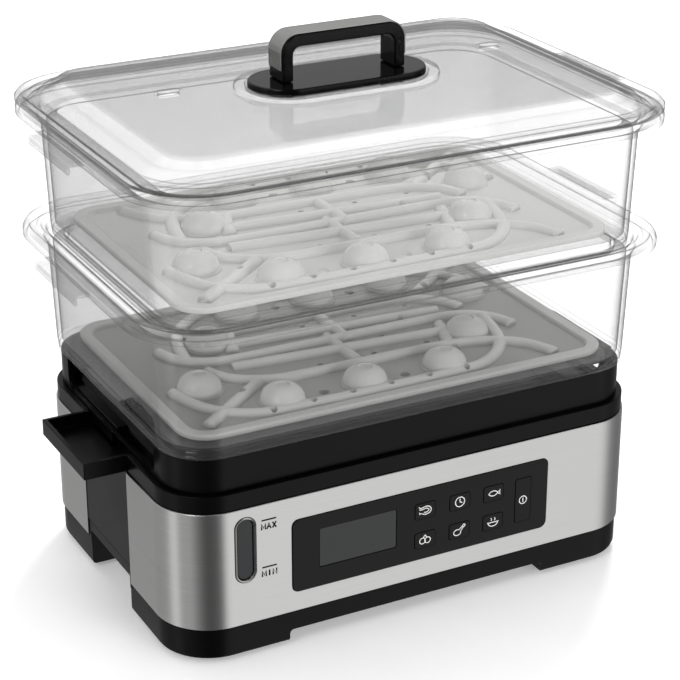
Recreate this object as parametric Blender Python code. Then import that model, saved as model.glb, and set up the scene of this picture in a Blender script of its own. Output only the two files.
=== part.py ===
"""Two-tier rectangular food steamer with a water-fill scoop on each side and a front control panel.

The origin is on the table at the middle of the footprint. +Z is up, -Y is the front (the control
panel) and +X is the user's right. Lengths are in metres.
"""

import math

import bmesh
import bpy
from mathutils import Vector

MM = 0.001
GAP = 0.3 * MM

# Driving dimensions.
BASE_W = 307.0 * MM
BASE_D = 210.5 * MM
BASE_R = 33.0 * MM
PAD_TOP = 2.4 * MM
FOOT_BOTTOM = 2.7 * MM
ARCH_TOP = 10.0 * MM
STEEL_BOTTOM = 22.0 * MM
STEEL_TOP = 95.2 * MM
STEEL_T = 1.0 * MM
COLLAR_TOP = 106.0 * MM
RIM_TOP = 126.6 * MM
RIM_INSET = 4.5 * MM
RIM_T = 3.0 * MM
SIDE_HALF = 33.5 * MM
SIDE_ARCH_TOP = 26.5 * MM
SIDE_BRIDGE_TOP = 33.4 * MM
BRIDGE_IN = 133.5 * MM
BRIDGE_OUT = 152.9 * MM
FRONT_ARCH_HALF = 85.0 * MM
SIDE_ARCH_HALF = 31.0 * MM
SCOOP_OUT = 178.5 * MM
SCOOP_WALL = 2.4 * MM
SCOOP_BOTTOM = 95.6 * MM
NOTCH_HALF = 66.5 * MM
FLANGE_W = 334.6 * MM
FLANGE_D = 239.2 * MM
FLANGE_R = 46.8 * MM
TIER_PITCH = 75.0 * MM
TRAY_SEAT = 126.9 * MM
TRAY_TOP = 81.7 * MM
TAB_IN = 166.6 * MM
TAB_OUT = 178.0 * MM
TAB_HALF = 32.0 * MM
TAB_TOP = 80.2 * MM
TAB_T = 1.8 * MM
TAB_LIP = 5.8 * MM
PLATE_W = 266.0 * MM
PLATE_D = 170.5 * MM
PLATE_R = 14.0 * MM
TANK_W = 270.0 * MM
TANK_D = 150.0 * MM
TANK_Y = 14.0 * MM
TANK_BOTTOM = 32.0 * MM
TANK_TOP = 93.0 * MM
PANEL_X = 0.9 * MM
PANEL_Z = 57.8 * MM
PANEL_W = 170.0 * MM
PANEL_H = 46.7 * MM
WINDOW_X = -112.4 * MM
WINDOW_Z = 69.6 * MM
WINDOW_W = 13.6 * MM
WINDOW_H = 41.6 * MM
DISPLAY_X = -41.9 * MM
DISPLAY_Z = 59.4 * MM
DISPLAY_W = 50.0 * MM
DISPLAY_H = 24.9 * MM
BUTTON_COLUMNS = (1.8 * MM, 24.9 * MM, 47.9 * MM)
BUTTON_ROWS = (66.5 * MM, 47.5 * MM)
BUTTON_W = 14.2 * MM
BUTTON_H = 10.7 * MM
POWER_X = 68.4 * MM
POWER_Z = 57.2 * MM
POWER_W = 11.4 * MM
POWER_H = 29.2 * MM
DOME_R = 13.5 * MM
DOME_H = 11.0 * MM
VENTS_X = (-96.0 * MM, 115.0 * MM)
VENTS_Y = 22.0 * MM
HANDLE_SEAT_W = 110.0 * MM
HANDLE_SEAT_D = 46.0 * MM
HANDLE_HALF = 39.1 * MM
HANDLE_TOP = 328.2 * MM
HANDLE_BAR = 6.6 * MM
HANDLE_BEND = 10.5 * MM
HANDLE_Y = 9.0 * MM
STRIP_Y = 7.6 * MM
STRIP_T = 0.8 * MM
STRIP_FOOT = 7.1 * MM
RING_W = 126.0 * MM
RING_D = 66.0 * MM

FRONT = -BASE_D / 2.0
CORNERS = ((-1, -1), (1, -1), (-1, 1), (1, 1))


def clear_scene() -> None:
    """Remove every object from the open scene."""
    for obj in list(bpy.data.objects):
        bpy.data.objects.remove(obj, do_unlink=True)


def material(name, colour, roughness, metallic=0.0):
    """Return a Principled material of the given linear colour."""
    mat = bpy.data.materials.new(name)
    mat.use_nodes = True
    bsdf = mat.node_tree.nodes["Principled BSDF"]
    bsdf.inputs["Base Color"].default_value = (*colour, 1.0)
    bsdf.inputs["Roughness"].default_value = roughness
    bsdf.inputs["Metallic"].default_value = metallic
    return mat


BLACK = ((0.012, 0.012, 0.012), 0.38, 0.0)
GLOSS = ((0.010, 0.010, 0.010), 0.12, 0.0)
STEEL = ((0.60, 0.59, 0.57), 0.32, 1.0)
CLEAR = ((0.86, 0.88, 0.88), 0.08, 0.0)
SMOKE = ((0.45, 0.46, 0.46), 0.30, 0.0)
GREEN = ((0.02, 0.12, 0.05), 0.50, 0.0)
BRASS = ((0.60, 0.45, 0.18), 0.35, 1.0)
RED = ((0.40, 0.02, 0.02), 0.40, 0.0)
CREAM = ((0.62, 0.60, 0.54), 0.50, 0.0)
DARK = ((0.03, 0.03, 0.032), 0.60, 0.0)


def emit(name, bm, look, origin=(0.0, 0.0, 0.0), smooth_deg=32.0):
    """Turn a bmesh into a named object whose origin is at the given point."""
    bmesh.ops.recalc_face_normals(bm, faces=bm.faces)
    mesh = bpy.data.meshes.new(name)
    bmesh.ops.translate(bm, vec=-Vector(origin), verts=bm.verts)
    bm.to_mesh(mesh)
    bm.free()
    mesh.shade_smooth()
    mesh.set_sharp_from_angle(angle=math.radians(smooth_deg))
    obj = bpy.data.objects.new(name, mesh)
    obj.location = origin
    obj.data.materials.append(material(name + "_finish", *look))
    bpy.context.scene.collection.objects.link(obj)
    return obj


def round_rect(width, depth, radius, segments=5, centre=(0.0, 0.0)):
    """Return the outline of a rounded rectangle, counter-clockwise."""
    radius = max(0.0005, min(radius, width / 2 - 1e-5, depth / 2 - 1e-5))
    points = []
    for sx, sy, start in ((1, 1, 0), (-1, 1, 90), (-1, -1, 180), (1, -1, 270)):
        for step in range(segments + 1):
            angle = math.radians(start + 90.0 * step / segments)
            x = centre[0] + sx * (width / 2 - radius) + radius * math.cos(angle)
            y = centre[1] + sy * (depth / 2 - radius) + radius * math.sin(angle)
            points.append((x, y))
    return points


def circle(radius, segments, centre=(0.0, 0.0)):
    """Return a regular polygon on a circle, counter-clockwise."""
    turn = 2.0 * math.pi / segments
    return [
        (centre[0] + radius * math.cos(turn * i), centre[1] + radius * math.sin(turn * i))
        for i in range(segments)
    ]


def skin(bm, rings, closed):
    """Bridge rings of points in order; cap both ends, or close the section on itself."""
    loops = [[bm.verts.new(p) for p in ring] for ring in rings]
    pairs = list(zip(loops, loops[1:]))
    if closed:
        pairs.append((loops[-1], loops[0]))
    count = len(loops[0])
    for low, high in pairs:
        for i in range(count):
            j = (i + 1) % count
            bm.faces.new((low[i], low[j], high[j], high[i]))
    if not closed:
        bm.faces.new(list(reversed(loops[0])))
        bm.faces.new(loops[-1])


def rings_from(section, width, depth, radius, segments=5, centre=(0.0, 0.0)):
    """Turn (inset, height) pairs into rounded-rectangle rings."""
    rings = []
    for inset, height in section:
        outline = round_rect(width - 2 * inset, depth - 2 * inset, radius - inset, segments, centre)
        rings.append([(x, y, height) for x, y in outline])
    return rings


def frame_ring(name, section, width, depth, radius, look, segments=5):
    """Sweep a closed section around a rounded rectangle."""
    bm = bmesh.new()
    skin(bm, rings_from(section, width, depth, radius, segments), closed=True)
    return emit(name, bm, look)


def pan_mesh(section, width, depth, radius, segments=5, centre=(0.0, 0.0)):
    """Loft a section around a rounded rectangle and cap both ends, as on a dish."""
    bm = bmesh.new()
    skin(bm, rings_from(section, width, depth, radius, segments, centre), closed=False)
    return bm


def add_box(bm, low, high):
    """Add an axis-aligned box between two corners."""
    made = bmesh.ops.create_cube(bm, size=1.0)["verts"]
    size = [b - a for a, b in zip(low, high)]
    mid = [(a + b) / 2.0 for a, b in zip(low, high)]
    bmesh.ops.scale(bm, vec=size, verts=made)
    bmesh.ops.translate(bm, vec=mid, verts=made)


def add_prism(bm, outline, low, high):
    """Extrude an outline in XY between two heights."""
    skin(bm, [[(x, y, low) for x, y in outline], [(x, y, high) for x, y in outline]], closed=False)


def add_prism_y(bm, outline, front, back):
    """Extrude an outline in XZ between two depths."""
    skin(bm, [[(x, front, z) for x, z in outline], [(x, back, z) for x, z in outline]], closed=False)


def add_drum(bm, radius, low, high, centre=(0.0, 0.0), segments=24):
    """Add an upright cylinder."""
    add_prism(bm, circle(radius, segments, centre), low, high)


def solid(name, build, look, origin=(0.0, 0.0, 0.0)):
    """Make an object from a function that fills a bmesh."""
    bm = bmesh.new()
    build(bm)
    return emit(name, bm, look, origin)


def combine(obj, cutters, operation="DIFFERENCE"):
    """Apply exact Booleans with each cutter mesh and drop the cutters."""
    for index, bm in enumerate(cutters):
        cutter = emit(obj.name + "_cut", bm, DARK)
        cutter.hide_render = True
        cutter.display_type = "WIRE"
        step = obj.modifiers.new("shape_%d" % index, "BOOLEAN")
        step.operation = operation
        step.solver = "EXACT"
        step.object = cutter
        bpy.context.view_layer.update()
        graph = bpy.context.evaluated_depsgraph_get()
        mesh = bpy.data.meshes.new_from_object(obj.evaluated_get(graph))
        obj.modifiers.clear()
        obj.data = mesh
        bpy.data.objects.remove(cutter, do_unlink=True)
    tidy(obj)
    return obj


def tidy(obj):
    """Merge coincident points and shade the result smooth between sharp edges."""
    bm = bmesh.new()
    bm.from_mesh(obj.data)
    bmesh.ops.remove_doubles(bm, verts=bm.verts, dist=1e-6)
    bmesh.ops.dissolve_degenerate(bm, dist=1e-6, edges=bm.edges)
    bmesh.ops.recalc_face_normals(bm, faces=bm.faces)
    look = obj.data.materials[0]
    bm.to_mesh(obj.data)
    bm.free()
    obj.data.materials.clear()
    obj.data.materials.append(look)
    obj.data.shade_smooth()
    obj.data.set_sharp_from_angle(angle=math.radians(32.0))


def box_mesh(low, high):
    """Return a bmesh box, used as a cutter or a block."""
    bm = bmesh.new()
    add_box(bm, low, high)
    return bm


def prism_y_mesh(outline, front, back):
    """Return a bmesh prism along Y, used as a cutter."""
    bm = bmesh.new()
    add_prism_y(bm, outline, front, back)
    return bm


def prism_x_mesh(outline, low, high):
    """Return a bmesh prism along X from a YZ outline."""
    bm = bmesh.new()
    skin(bm, [[(low, y, z) for y, z in outline], [(high, y, z) for y, z in outline]], closed=False)
    return bm


def drum_mesh(radius, low, high, centre=(0.0, 0.0), segments=20):
    """Return a bmesh cylinder, used as a cutter."""
    bm = bmesh.new()
    add_drum(bm, radius, low, high, centre, segments)
    return bm


# ---------------------------------------------------------------- base


def make_base_pan():
    """Bottom housing: hollow pan with four corner feet between raised arches."""
    inset = 1.0 * MM
    section = (
        (inset + 2.0 * MM, FOOT_BOTTOM),
        (inset, FOOT_BOTTOM + 2.0 * MM),
        (inset, STEEL_BOTTOM - GAP),
        (18.0 * MM, STEEL_BOTTOM - GAP),
        (18.0 * MM, 13.0 * MM),
    )
    bm = pan_mesh(section, BASE_W, BASE_D, BASE_R)
    pan = emit("base_pan", bm, BLACK)
    bridges = []
    for side in (-1, 1):
        x = sorted((side * BRIDGE_IN, side * BRIDGE_OUT))
        bridges.append(
            box_mesh((x[0], -SIDE_HALF, STEEL_BOTTOM - 4.0 * MM), (x[1], SIDE_HALF, SIDE_BRIDGE_TOP))
        )
    combine(pan, bridges, "UNION")
    half = FRONT_ARCH_HALF
    arch = [(-half - 4 * MM, -MM), (half + 4 * MM, -MM), (half, ARCH_TOP), (-half, ARCH_TOP)]
    cuts = [prism_y_mesh(arch, -0.2, 0.2)]
    half = SIDE_ARCH_HALF
    cuts.append(box_mesh((-0.2, -half, -MM), (0.2, half, ARCH_TOP)))
    cuts.append(box_mesh((-0.2, -half, -MM), (-139.0 * MM, half, SIDE_ARCH_TOP)))
    cuts.append(box_mesh((139.0 * MM, -half, -MM), (0.2, half, SIDE_ARCH_TOP)))
    return combine(pan, cuts)


def make_rubber_feet():
    """Four round pads under the corner feet."""
    for number, (sx, sy) in enumerate(CORNERS, 1):
        bm = bmesh.new()
        add_drum(bm, 8.0 * MM, 0.0, PAD_TOP, (sx * 122 * MM, sy * 78 * MM), 20)
        emit("rubber_foot_%d" % number, bm, DARK)


def make_base_screws():
    """Four screw heads under the pan floor."""
    for number, (sx, sy) in enumerate(CORNERS, 1):
        bm = bmesh.new()
        add_drum(bm, 3.5 * MM, 7.6 * MM, ARCH_TOP - GAP, (sx * 60 * MM, sy * 70 * MM), 12)
        emit("base_screw_%d" % number, bm, STEEL)


def steel_ring(name, keep_front):
    """Half of the steel band, cut away where the side panels stand."""
    low = STEEL_BOTTOM + GAP
    high = STEEL_TOP
    section = ((0.0, low), (0.0, high), (STEEL_T, high), (STEEL_T, low))
    band = frame_ring(name, section, BASE_W, BASE_D, BASE_R, STEEL, 8)
    edge = SIDE_HALF + GAP
    if keep_front:
        cuts = [box_mesh((-0.2, -edge, 0.0), (0.2, 0.2, 0.2))]
        panel = round_rect(PANEL_W, PANEL_H, 4.5 * MM, 3, (PANEL_X, PANEL_Z))
        slot = round_rect(WINDOW_W, WINDOW_H, WINDOW_W / 2, 5, (WINDOW_X, WINDOW_Z))
        cuts.append(prism_y_mesh(panel, -0.12, -0.09))
        cuts.append(prism_y_mesh(slot, -0.12, -0.09))
    else:
        cuts = [box_mesh((-0.2, -0.2, 0.0), (0.2, edge, 0.2))]
    return combine(band, cuts)


def make_mains_gland():
    """Round cord gland in the back of the steel band's lower edge."""

    def build(bm):
        back = BASE_D / 2
        outline = circle(7.0 * MM, 20, (96.0 * MM, 45.0 * MM))
        hole = circle(3.6 * MM, 20, (96.0 * MM, 45.0 * MM))
        rings = [
            [(x, back + GAP, z) for x, z in hole],
            [(x, back + GAP, z) for x, z in outline],
            [(x, back + 6.0 * MM, z) for x, z in outline],
            [(x, back + 6.0 * MM, z) for x, z in hole],
        ]
        skin(bm, rings, closed=True)

    return solid("cord_gland", build, BLACK)


def make_collar_lower():
    """Black band above the steel, with the inner deck and the sill of each side notch."""
    low = STEEL_TOP + GAP
    section = (
        (1.0 * MM, low),
        (1.0 * MM, COLLAR_TOP - GAP),
        (10.0 * MM, COLLAR_TOP - GAP),
        (10.0 * MM, 103.6 * MM),
        (24.0 * MM, 103.6 * MM),
        (24.0 * MM, 100.6 * MM),
        (6.0 * MM, 100.6 * MM),
        (4.0 * MM, low),
    )
    band = frame_ring("collar_lower", section, BASE_W, BASE_D, BASE_R, BLACK, 6)
    sills = [
        box_mesh((-145.6 * MM, -2.5 * MM, 102.0 * MM), (-138.6 * MM, 62.0 * MM, 108.2 * MM)),
        box_mesh((138.6 * MM, -2.5 * MM, 102.0 * MM), (145.6 * MM, 62.0 * MM, 108.2 * MM)),
    ]
    combine(band, sills, "UNION")
    half = SIDE_HALF + GAP
    cuts = []
    for side in (-1, 1):
        x = sorted((side * 138.0 * MM, side * 160.0 * MM))
        cuts.append(box_mesh((x[0], -half, 90.0 * MM), (x[1], -2.8 * MM, 120.0 * MM)))
        x = sorted((side * 149.2 * MM, side * 160.0 * MM))
        cuts.append(box_mesh((x[0], -3.5 * MM, 90.0 * MM), (x[1], half, 120.0 * MM)))
        x = sorted((side * 126.0 * MM, side * 150.0 * MM))
        cuts.append(box_mesh((x[0], -half, 90.0 * MM), (x[1], half, 100.4 * MM)))
    return combine(band, cuts)


def make_collar_upper():
    """Upright rim that the lower tray stands on, notched wide open at both sides."""
    low = COLLAR_TOP
    section = (
        (RIM_INSET, low),
        (RIM_INSET, RIM_TOP - 0.8 * MM),
        (RIM_INSET + 0.8 * MM, RIM_TOP),
        (RIM_INSET + RIM_T, RIM_TOP),
        (RIM_INSET + RIM_T, low),
    )
    rim = frame_ring("collar_upper", section, BASE_W, BASE_D, BASE_R, BLACK, 8)
    radius = 9.0 * MM
    outline = []
    for sy, start in ((-1, 180), (1, 270)):
        for step in range(6):
            angle = math.radians(start + 90.0 * step / 5)
            y = sy * (NOTCH_HALF - radius) + radius * math.cos(angle)
            outline.append((y, low + 0.6 * MM + radius + radius * math.sin(angle)))
    outline.append((NOTCH_HALF, 0.2))
    outline.append((-NOTCH_HALF, 0.2))
    for side in (-1, 1):
        x = sorted((side * 135.0 * MM, side * 160.0 * MM))
        combine(rim, [prism_x_mesh(outline, *x)])
    return rim


def make_spout(name, side):
    """Open scoop outside the collar that pours into the tank, with the panel below it."""
    outer = SCOOP_OUT
    face = 153.2 * MM
    half = SIDE_HALF
    top = COLLAR_TOP - GAP
    floor = SCOOP_BOTTOM + 2.2 * MM

    def x_pair(a, b):
        return sorted((side * a, side * b))

    x = x_pair(149.6 * MM, outer)
    spout = emit(name, box_mesh((x[0], -half, SCOOP_BOTTOM), (x[1], half, top)), BLACK)
    x = x_pair(face - 3.0 * MM, face)
    panel = box_mesh((x[0], -half, SIDE_BRIDGE_TOP + GAP), (x[1], half, SCOOP_BOTTOM + 1.0 * MM))
    x = x_pair(128.0 * MM, 151.0 * MM)
    chute = box_mesh((x[0], -half + 1.0 * MM, SCOOP_BOTTOM), (x[1], -5.0 * MM, 100.0 * MM))
    combine(spout, [panel, chute], "UNION")
    x = x_pair(146.0 * MM, outer - SCOOP_WALL)
    hollow = box_mesh((x[0], -half + SCOOP_WALL, floor), (x[1], half - SCOOP_WALL, 0.12))
    x = x_pair(120.0 * MM, 147.0 * MM)
    channel = box_mesh((x[0], -half + SCOOP_WALL, floor), (x[1], -7.0 * MM, 0.12))
    return combine(spout, [hollow, channel])


def make_water_tank():
    """Deep water pan under the drip tray."""
    wall = 2.5 * MM
    section = (
        (4.0 * MM, TANK_BOTTOM),
        (0.0, TANK_BOTTOM + 6.0 * MM),
        (0.0, TANK_TOP),
        (wall, TANK_TOP),
        (wall, TANK_BOTTOM + 7.0 * MM),
        (4.0 * MM + wall, TANK_BOTTOM + wall),
    )
    bm = pan_mesh(section, TANK_W - 20 * MM, TANK_D, 20.0 * MM, 5, (0.0, TANK_Y))
    return emit("water_tank", bm, DARK)


def make_heating():
    """Heater plate in the tank, ring element and thermal cut-out below it."""
    centre = (0.0, TANK_Y)
    plate = solid(
        "heater_plate",
        lambda bm: add_drum(bm, 44 * MM, TANK_BOTTOM + 2.8 * MM, TANK_BOTTOM + 5 * MM, centre, 32),
        STEEL,
    )
    bm = bmesh.new()
    rings = []
    for i in range(24):
        turn = 2 * math.pi * i / 24
        rings.append(
            [
                (
                    (34 * MM + 4 * MM * math.cos(a)) * math.cos(turn),
                    TANK_Y + (34 * MM + 4 * MM * math.cos(a)) * math.sin(turn),
                    TANK_BOTTOM - 4.4 * MM + 4 * MM * math.sin(a),
                )
                for a in [2 * math.pi * k / 10 for k in range(10)]
            ]
        )
    skin(bm, rings, closed=True)
    element = emit("heating_element", bm, BRASS)
    fuse = solid(
        "thermal_cutout",
        lambda bm: add_drum(bm, 9 * MM, 22.0 * MM, TANK_BOTTOM - GAP, centre, 20),
        CREAM,
    )
    return plate, element, fuse


# ---------------------------------------------------------------- front panel


def make_window():
    """Water-level window: steel bezel, clear column and the float inside it."""
    w = WINDOW_W - 2 * GAP
    h = WINDOW_H - 2 * GAP
    frame = round_rect(w, h, w / 2, 6, (WINDOW_X, WINDOW_Z))
    hole = round_rect(w - 3 * MM, h - 3 * MM, (w - 3 * MM) / 2, 6, (WINDOW_X, WINDOW_Z))
    bm = bmesh.new()
    rings = [
        [(x, FRONT - 0.5 * MM, z) for x, z in hole],
        [(x, FRONT - 0.5 * MM, z) for x, z in frame],
        [(x, FRONT + 2.0 * MM, z) for x, z in frame],
        [(x, FRONT + 2.0 * MM, z) for x, z in hole],
    ]
    skin(bm, rings, closed=True)
    bezel = emit("window_bezel", bm, STEEL)
    g = GAP
    clear_w = w - 3 * MM - 2 * g
    clear_h = h - 3 * MM - 2 * g
    pane = round_rect(clear_w, clear_h, clear_w / 2, 6, (WINDOW_X, WINDOW_Z))
    bore = round_rect(clear_w - 3 * MM, clear_h - 3 * MM, (clear_w - 3 * MM) / 2, 6, (WINDOW_X, WINDOW_Z))
    bm = bmesh.new()
    rings = [
        [(x, FRONT + 0.8 * MM, z) for x, z in pane],
        [(x, FRONT + 11.5 * MM, z) for x, z in pane],
        [(x, FRONT + 11.5 * MM, z) for x, z in bore],
        [(x, FRONT + 2.0 * MM, z) for x, z in bore],
    ]
    skin(bm, rings, closed=False)
    column = emit("level_window", bm, CLEAR)
    low = WINDOW_Z - WINDOW_H / 2 + 8.5 * MM
    ball_at = (WINDOW_X, FRONT + 6.8 * MM, low)

    def build(bm):
        made = bmesh.ops.create_uvsphere(bm, u_segments=14, v_segments=9, radius=2.5 * MM)["verts"]
        bmesh.ops.translate(bm, vec=ball_at, verts=made)

    level_float = solid("level_float", build, RED, ball_at)
    return bezel, column, level_float


def button_boxes():
    """Return each button's name, centre, width and height."""
    boxes = []
    names = (("seafood", "timer", "fish"), ("vegetable", "meat", "keep_warm"))
    for z, row in zip(BUTTON_ROWS, names):
        for x, name in zip(BUTTON_COLUMNS, row):
            boxes.append(("button_" + name, x, z, BUTTON_W, BUTTON_H))
    boxes.append(("button_power", POWER_X, POWER_Z, POWER_W, POWER_H))
    return boxes


def make_fascia():
    """Glossy black panel set into the steel, with the display and button openings."""
    w = PANEL_W - 2 * GAP
    h = PANEL_H - 2 * GAP
    outline = round_rect(w, h, 4.2 * MM, 4, (PANEL_X, PANEL_Z))
    bm = bmesh.new()
    add_prism_y(bm, outline, FRONT - 0.6 * MM, FRONT + 2.4 * MM)
    fascia = emit("fascia", bm, GLOSS)
    cuts = []
    for _, x, z, bw, bh in button_boxes():
        cuts.append(prism_y_mesh(round_rect(bw, bh, 1.8 * MM, 2, (x, z)), -0.12, -0.09))
    window = round_rect(DISPLAY_W, DISPLAY_H, 1.2 * MM, 2, (DISPLAY_X, DISPLAY_Z))
    cuts.append(prism_y_mesh(window, -0.12, -0.09))
    return combine(fascia, cuts)


def make_display():
    """Display window and the module behind it."""
    g = 2 * GAP
    pane = round_rect(DISPLAY_W - g, DISPLAY_H - g, 1.0 * MM, 2, (DISPLAY_X, DISPLAY_Z))
    bm = bmesh.new()
    add_prism_y(bm, pane, FRONT - 0.3 * MM, FRONT + 1.2 * MM)
    window = emit("display_window", bm, GLOSS)
    front = FRONT + 2.7 * MM
    low = (DISPLAY_X - 28 * MM, front, DISPLAY_Z - 15 * MM)
    high = (DISPLAY_X + 28 * MM, front + 3.0 * MM, DISPLAY_Z + 15 * MM)
    module = emit("display_module", box_mesh(low, high), SMOKE)
    return window, module


def make_buttons():
    """Seven flat push buttons, each with a stem, and the switches behind them."""
    buttons = []
    for name, x, z, bw, bh in button_boxes():
        cap = round_rect(bw - 2 * GAP, bh - 2 * GAP, 1.6 * MM, 3, (x, z))
        bm = bmesh.new()
        add_prism_y(bm, cap, FRONT - 0.9 * MM, FRONT + 1.4 * MM)
        button = emit(name, bm, GLOSS, (x, FRONT, z))
        buttons.append(button)

    for number, (_, x, z, _, _) in enumerate(button_boxes(), 1):
        low = (x - 3 * MM, FRONT + 3.0 * MM, z - 3 * MM)
        high = (x + 3 * MM, FRONT + 6.3 * MM, z + 3 * MM)
        emit("switch_%d" % number, box_mesh(low, high), DARK)
    low = (PANEL_X - 82 * MM, FRONT + 6.6 * MM, PANEL_Z - 21 * MM)
    high = (PANEL_X + 82 * MM, FRONT + 8.2 * MM, PANEL_Z + 21 * MM)
    board = emit("control_board", box_mesh(low, high), GREEN)
    power = box_mesh((40 * MM, -40 * MM, 14.5 * MM), (110 * MM, 20 * MM, 16.1 * MM))
    power_board = emit("power_board", power, GREEN)
    return buttons, board, power_board


# ---------------------------------------------------------------- trays and lid


def tray_section(seat):
    """Section of a tray: locating ring, tapering wall, stacking recess and outer skirt."""
    pairs = (
        (18.3, 0.0),
        (16.8, 3.0),
        (14.4, 68.0),
        (12.0, 73.6),
        (3.0, 76.6),
        (2.0, 74.7),
        (0.0, 74.7),
        (0.0, 79.4),
        (1.6, 81.7),
        (4.4, 81.7),
        (6.0, 79.3),
        (13.4, 79.0),
        (15.2, 74.7),
        (24.0, 74.7),
        (24.0, 72.2),
        (17.0, 69.6),
        (19.4, 6.0),
        (33.6, 5.4),
        (33.6, 3.0),
        (26.4, 1.6),
        (26.4, -4.6),
        (24.4, -4.6),
        (24.4, 0.0),
    )
    return [(inset * MM, seat + height * MM) for inset, height in pairs]


def make_tray(name, seat):
    """One open-bottomed clear tray with a finger tab at each end."""
    tray = frame_ring(name, tray_section(seat), FLANGE_W, FLANGE_D, FLANGE_R, CLEAR, 7)
    tabs = []
    for side in (-1, 1):
        top = seat + TAB_TOP
        x = sorted((side * TAB_IN, side * TAB_OUT))
        tabs.append(box_mesh((x[0], -TAB_HALF, top - TAB_T), (x[1], TAB_HALF, top)))
        x = sorted((side * (TAB_OUT - TAB_T), side * TAB_OUT))
        tabs.append(box_mesh((x[0], -TAB_HALF, top - TAB_LIP), (x[1], TAB_HALF, top - TAB_T / 2)))
    return combine(tray, tabs, "UNION")


def dome_centres():
    """Egg-holder centres: a front group of five and the same group turned half round."""
    front = [(-15.0 + 53.0 * k, -63.0) for k in (-1, 0, 1)]
    front += [(-15.0 - 89.0, -28.0), (-15.0 + 89.0, -28.0)]
    both = front + [(-x, -y) for x, y in front]
    return [(x * MM, y * MM) for x, y in both]


def make_plate(name, seat):
    """Perforated bottom plate with egg-holder domes; rests on the tray's inner ledge."""
    low = seat + 5.7 * MM
    bm = bmesh.new()
    section = (
        (8.0 * MM, low - 1.6 * MM),
        (7.0 * MM, low),
        (0.0, low),
        (0.0, low + 3.4 * MM),
        (7.0 * MM, low + 3.4 * MM),
        (8.8 * MM, low + 0.8 * MM),
    )
    skin(bm, rings_from(section, PLATE_W + 9 * MM, PLATE_D + 9 * MM, PLATE_R + 4.5 * MM, 5), closed=False)
    plate = emit(name, bm, SMOKE)
    blanks = []
    for centre in dome_centres():
        bm = bmesh.new()
        rings = []
        for step in range(5):
            angle = math.radians(78.0 * step / 4)
            radius = DOME_R * math.cos(angle)
            height = low + 0.2 * MM + DOME_H * math.sin(angle) / math.sin(math.radians(78.0))
            rings.append([(x, y, height) for x, y in circle(radius, 14, centre)])
        skin(bm, rings, closed=False)
        blanks.append(bm)
    for bm in blanks:
        combine(plate, [bm], "UNION")
    holes = bmesh.new()
    for x in (-91, -54, -8, 34, 62):
        add_drum(holes, 3.0 * MM, low - 5 * MM, low + 5 * MM, (x * MM, -45 * MM), 8)
        add_drum(holes, 3.0 * MM, low - 5 * MM, low + 5 * MM, (-x * MM, 45 * MM), 8)
    for x in (-100, -60, -20, 20, 60, 100):
        add_drum(holes, 3.0 * MM, low - 5 * MM, low + 5 * MM, (x * MM, 0.0), 8)
    return combine(plate, [holes])


def make_drip_tray():
    """Shallow juice tray that hangs in the collar's deck."""
    base = 103.9 * MM
    section = (
        (13.0 * MM, 95.6 * MM),
        (11.0 * MM, base),
        (0.0, base),
        (0.0, base + 2.0 * MM),
        (12.0 * MM, base + 2.0 * MM),
        (14.5 * MM, 97.4 * MM),
    )
    bm = pan_mesh(section, 276.0 * MM, 179.5 * MM, 20.0 * MM, 5)
    return emit("drip_tray", bm, DARK)


def make_lid():
    """Clear domed lid: stepped rim, sloping shoulder, two vents and a raised ring round the handle seat."""
    seat = TRAY_SEAT + TIER_PITCH + TRAY_TOP + GAP
    pairs = (
        (6.4, -2.2),
        (4.6, 0.0),
        (0.6, 0.0),
        (0.0, 1.4),
        (0.6, 3.6),
        (4.0, 4.2),
        (7.0, 2.6),
        (13.0, 3.2),
        (17.0, 6.6),
        (21.0, 7.6),
        (27.0, 12.4),
    )
    inner = (
        (28.0, 10.2),
        (21.6, 5.4),
        (17.6, 4.4),
        (13.4, 1.0),
        (8.0, 0.4),
    )
    section = [(a * MM, seat + b * MM) for a, b in pairs]
    under = [(a * MM, seat + b * MM) for a, b in inner]
    rings = rings_from(section, FLANGE_W, FLANGE_D, FLANGE_R, 7)
    below = rings_from(list(reversed(under)), FLANGE_W, FLANGE_D, FLANGE_R, 7)
    bm = bmesh.new()
    skin(bm, list(reversed(below)) + rings, closed=False)
    lid = emit("lid", bm, CLEAR)
    level = seat + 12.4 * MM
    outside = round_rect(RING_W, RING_D, RING_D / 2, 8)
    inside = round_rect(HANDLE_SEAT_W + 3 * MM, HANDLE_SEAT_D + 3 * MM, HANDLE_SEAT_D / 2 + 1.5 * MM, 8)
    bm = bmesh.new()
    rings = [[(x, y, level - MM) for x, y in outside], [(x, y, level + 3 * MM) for x, y in outside]]
    rings += [[(x, y, level + 3 * MM) for x, y in inside], [(x, y, level - MM) for x, y in inside]]
    skin(bm, rings, closed=True)
    combine(lid, [bm], "UNION")
    hole = bmesh.new()
    for x in VENTS_X:
        vent = round_rect(13.0 * MM, 6.5 * MM, 3.2 * MM, 4, (x, VENTS_Y))
        add_prism(hole, vent, seat, seat + 0.02)
    return combine(lid, [hole])


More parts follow.
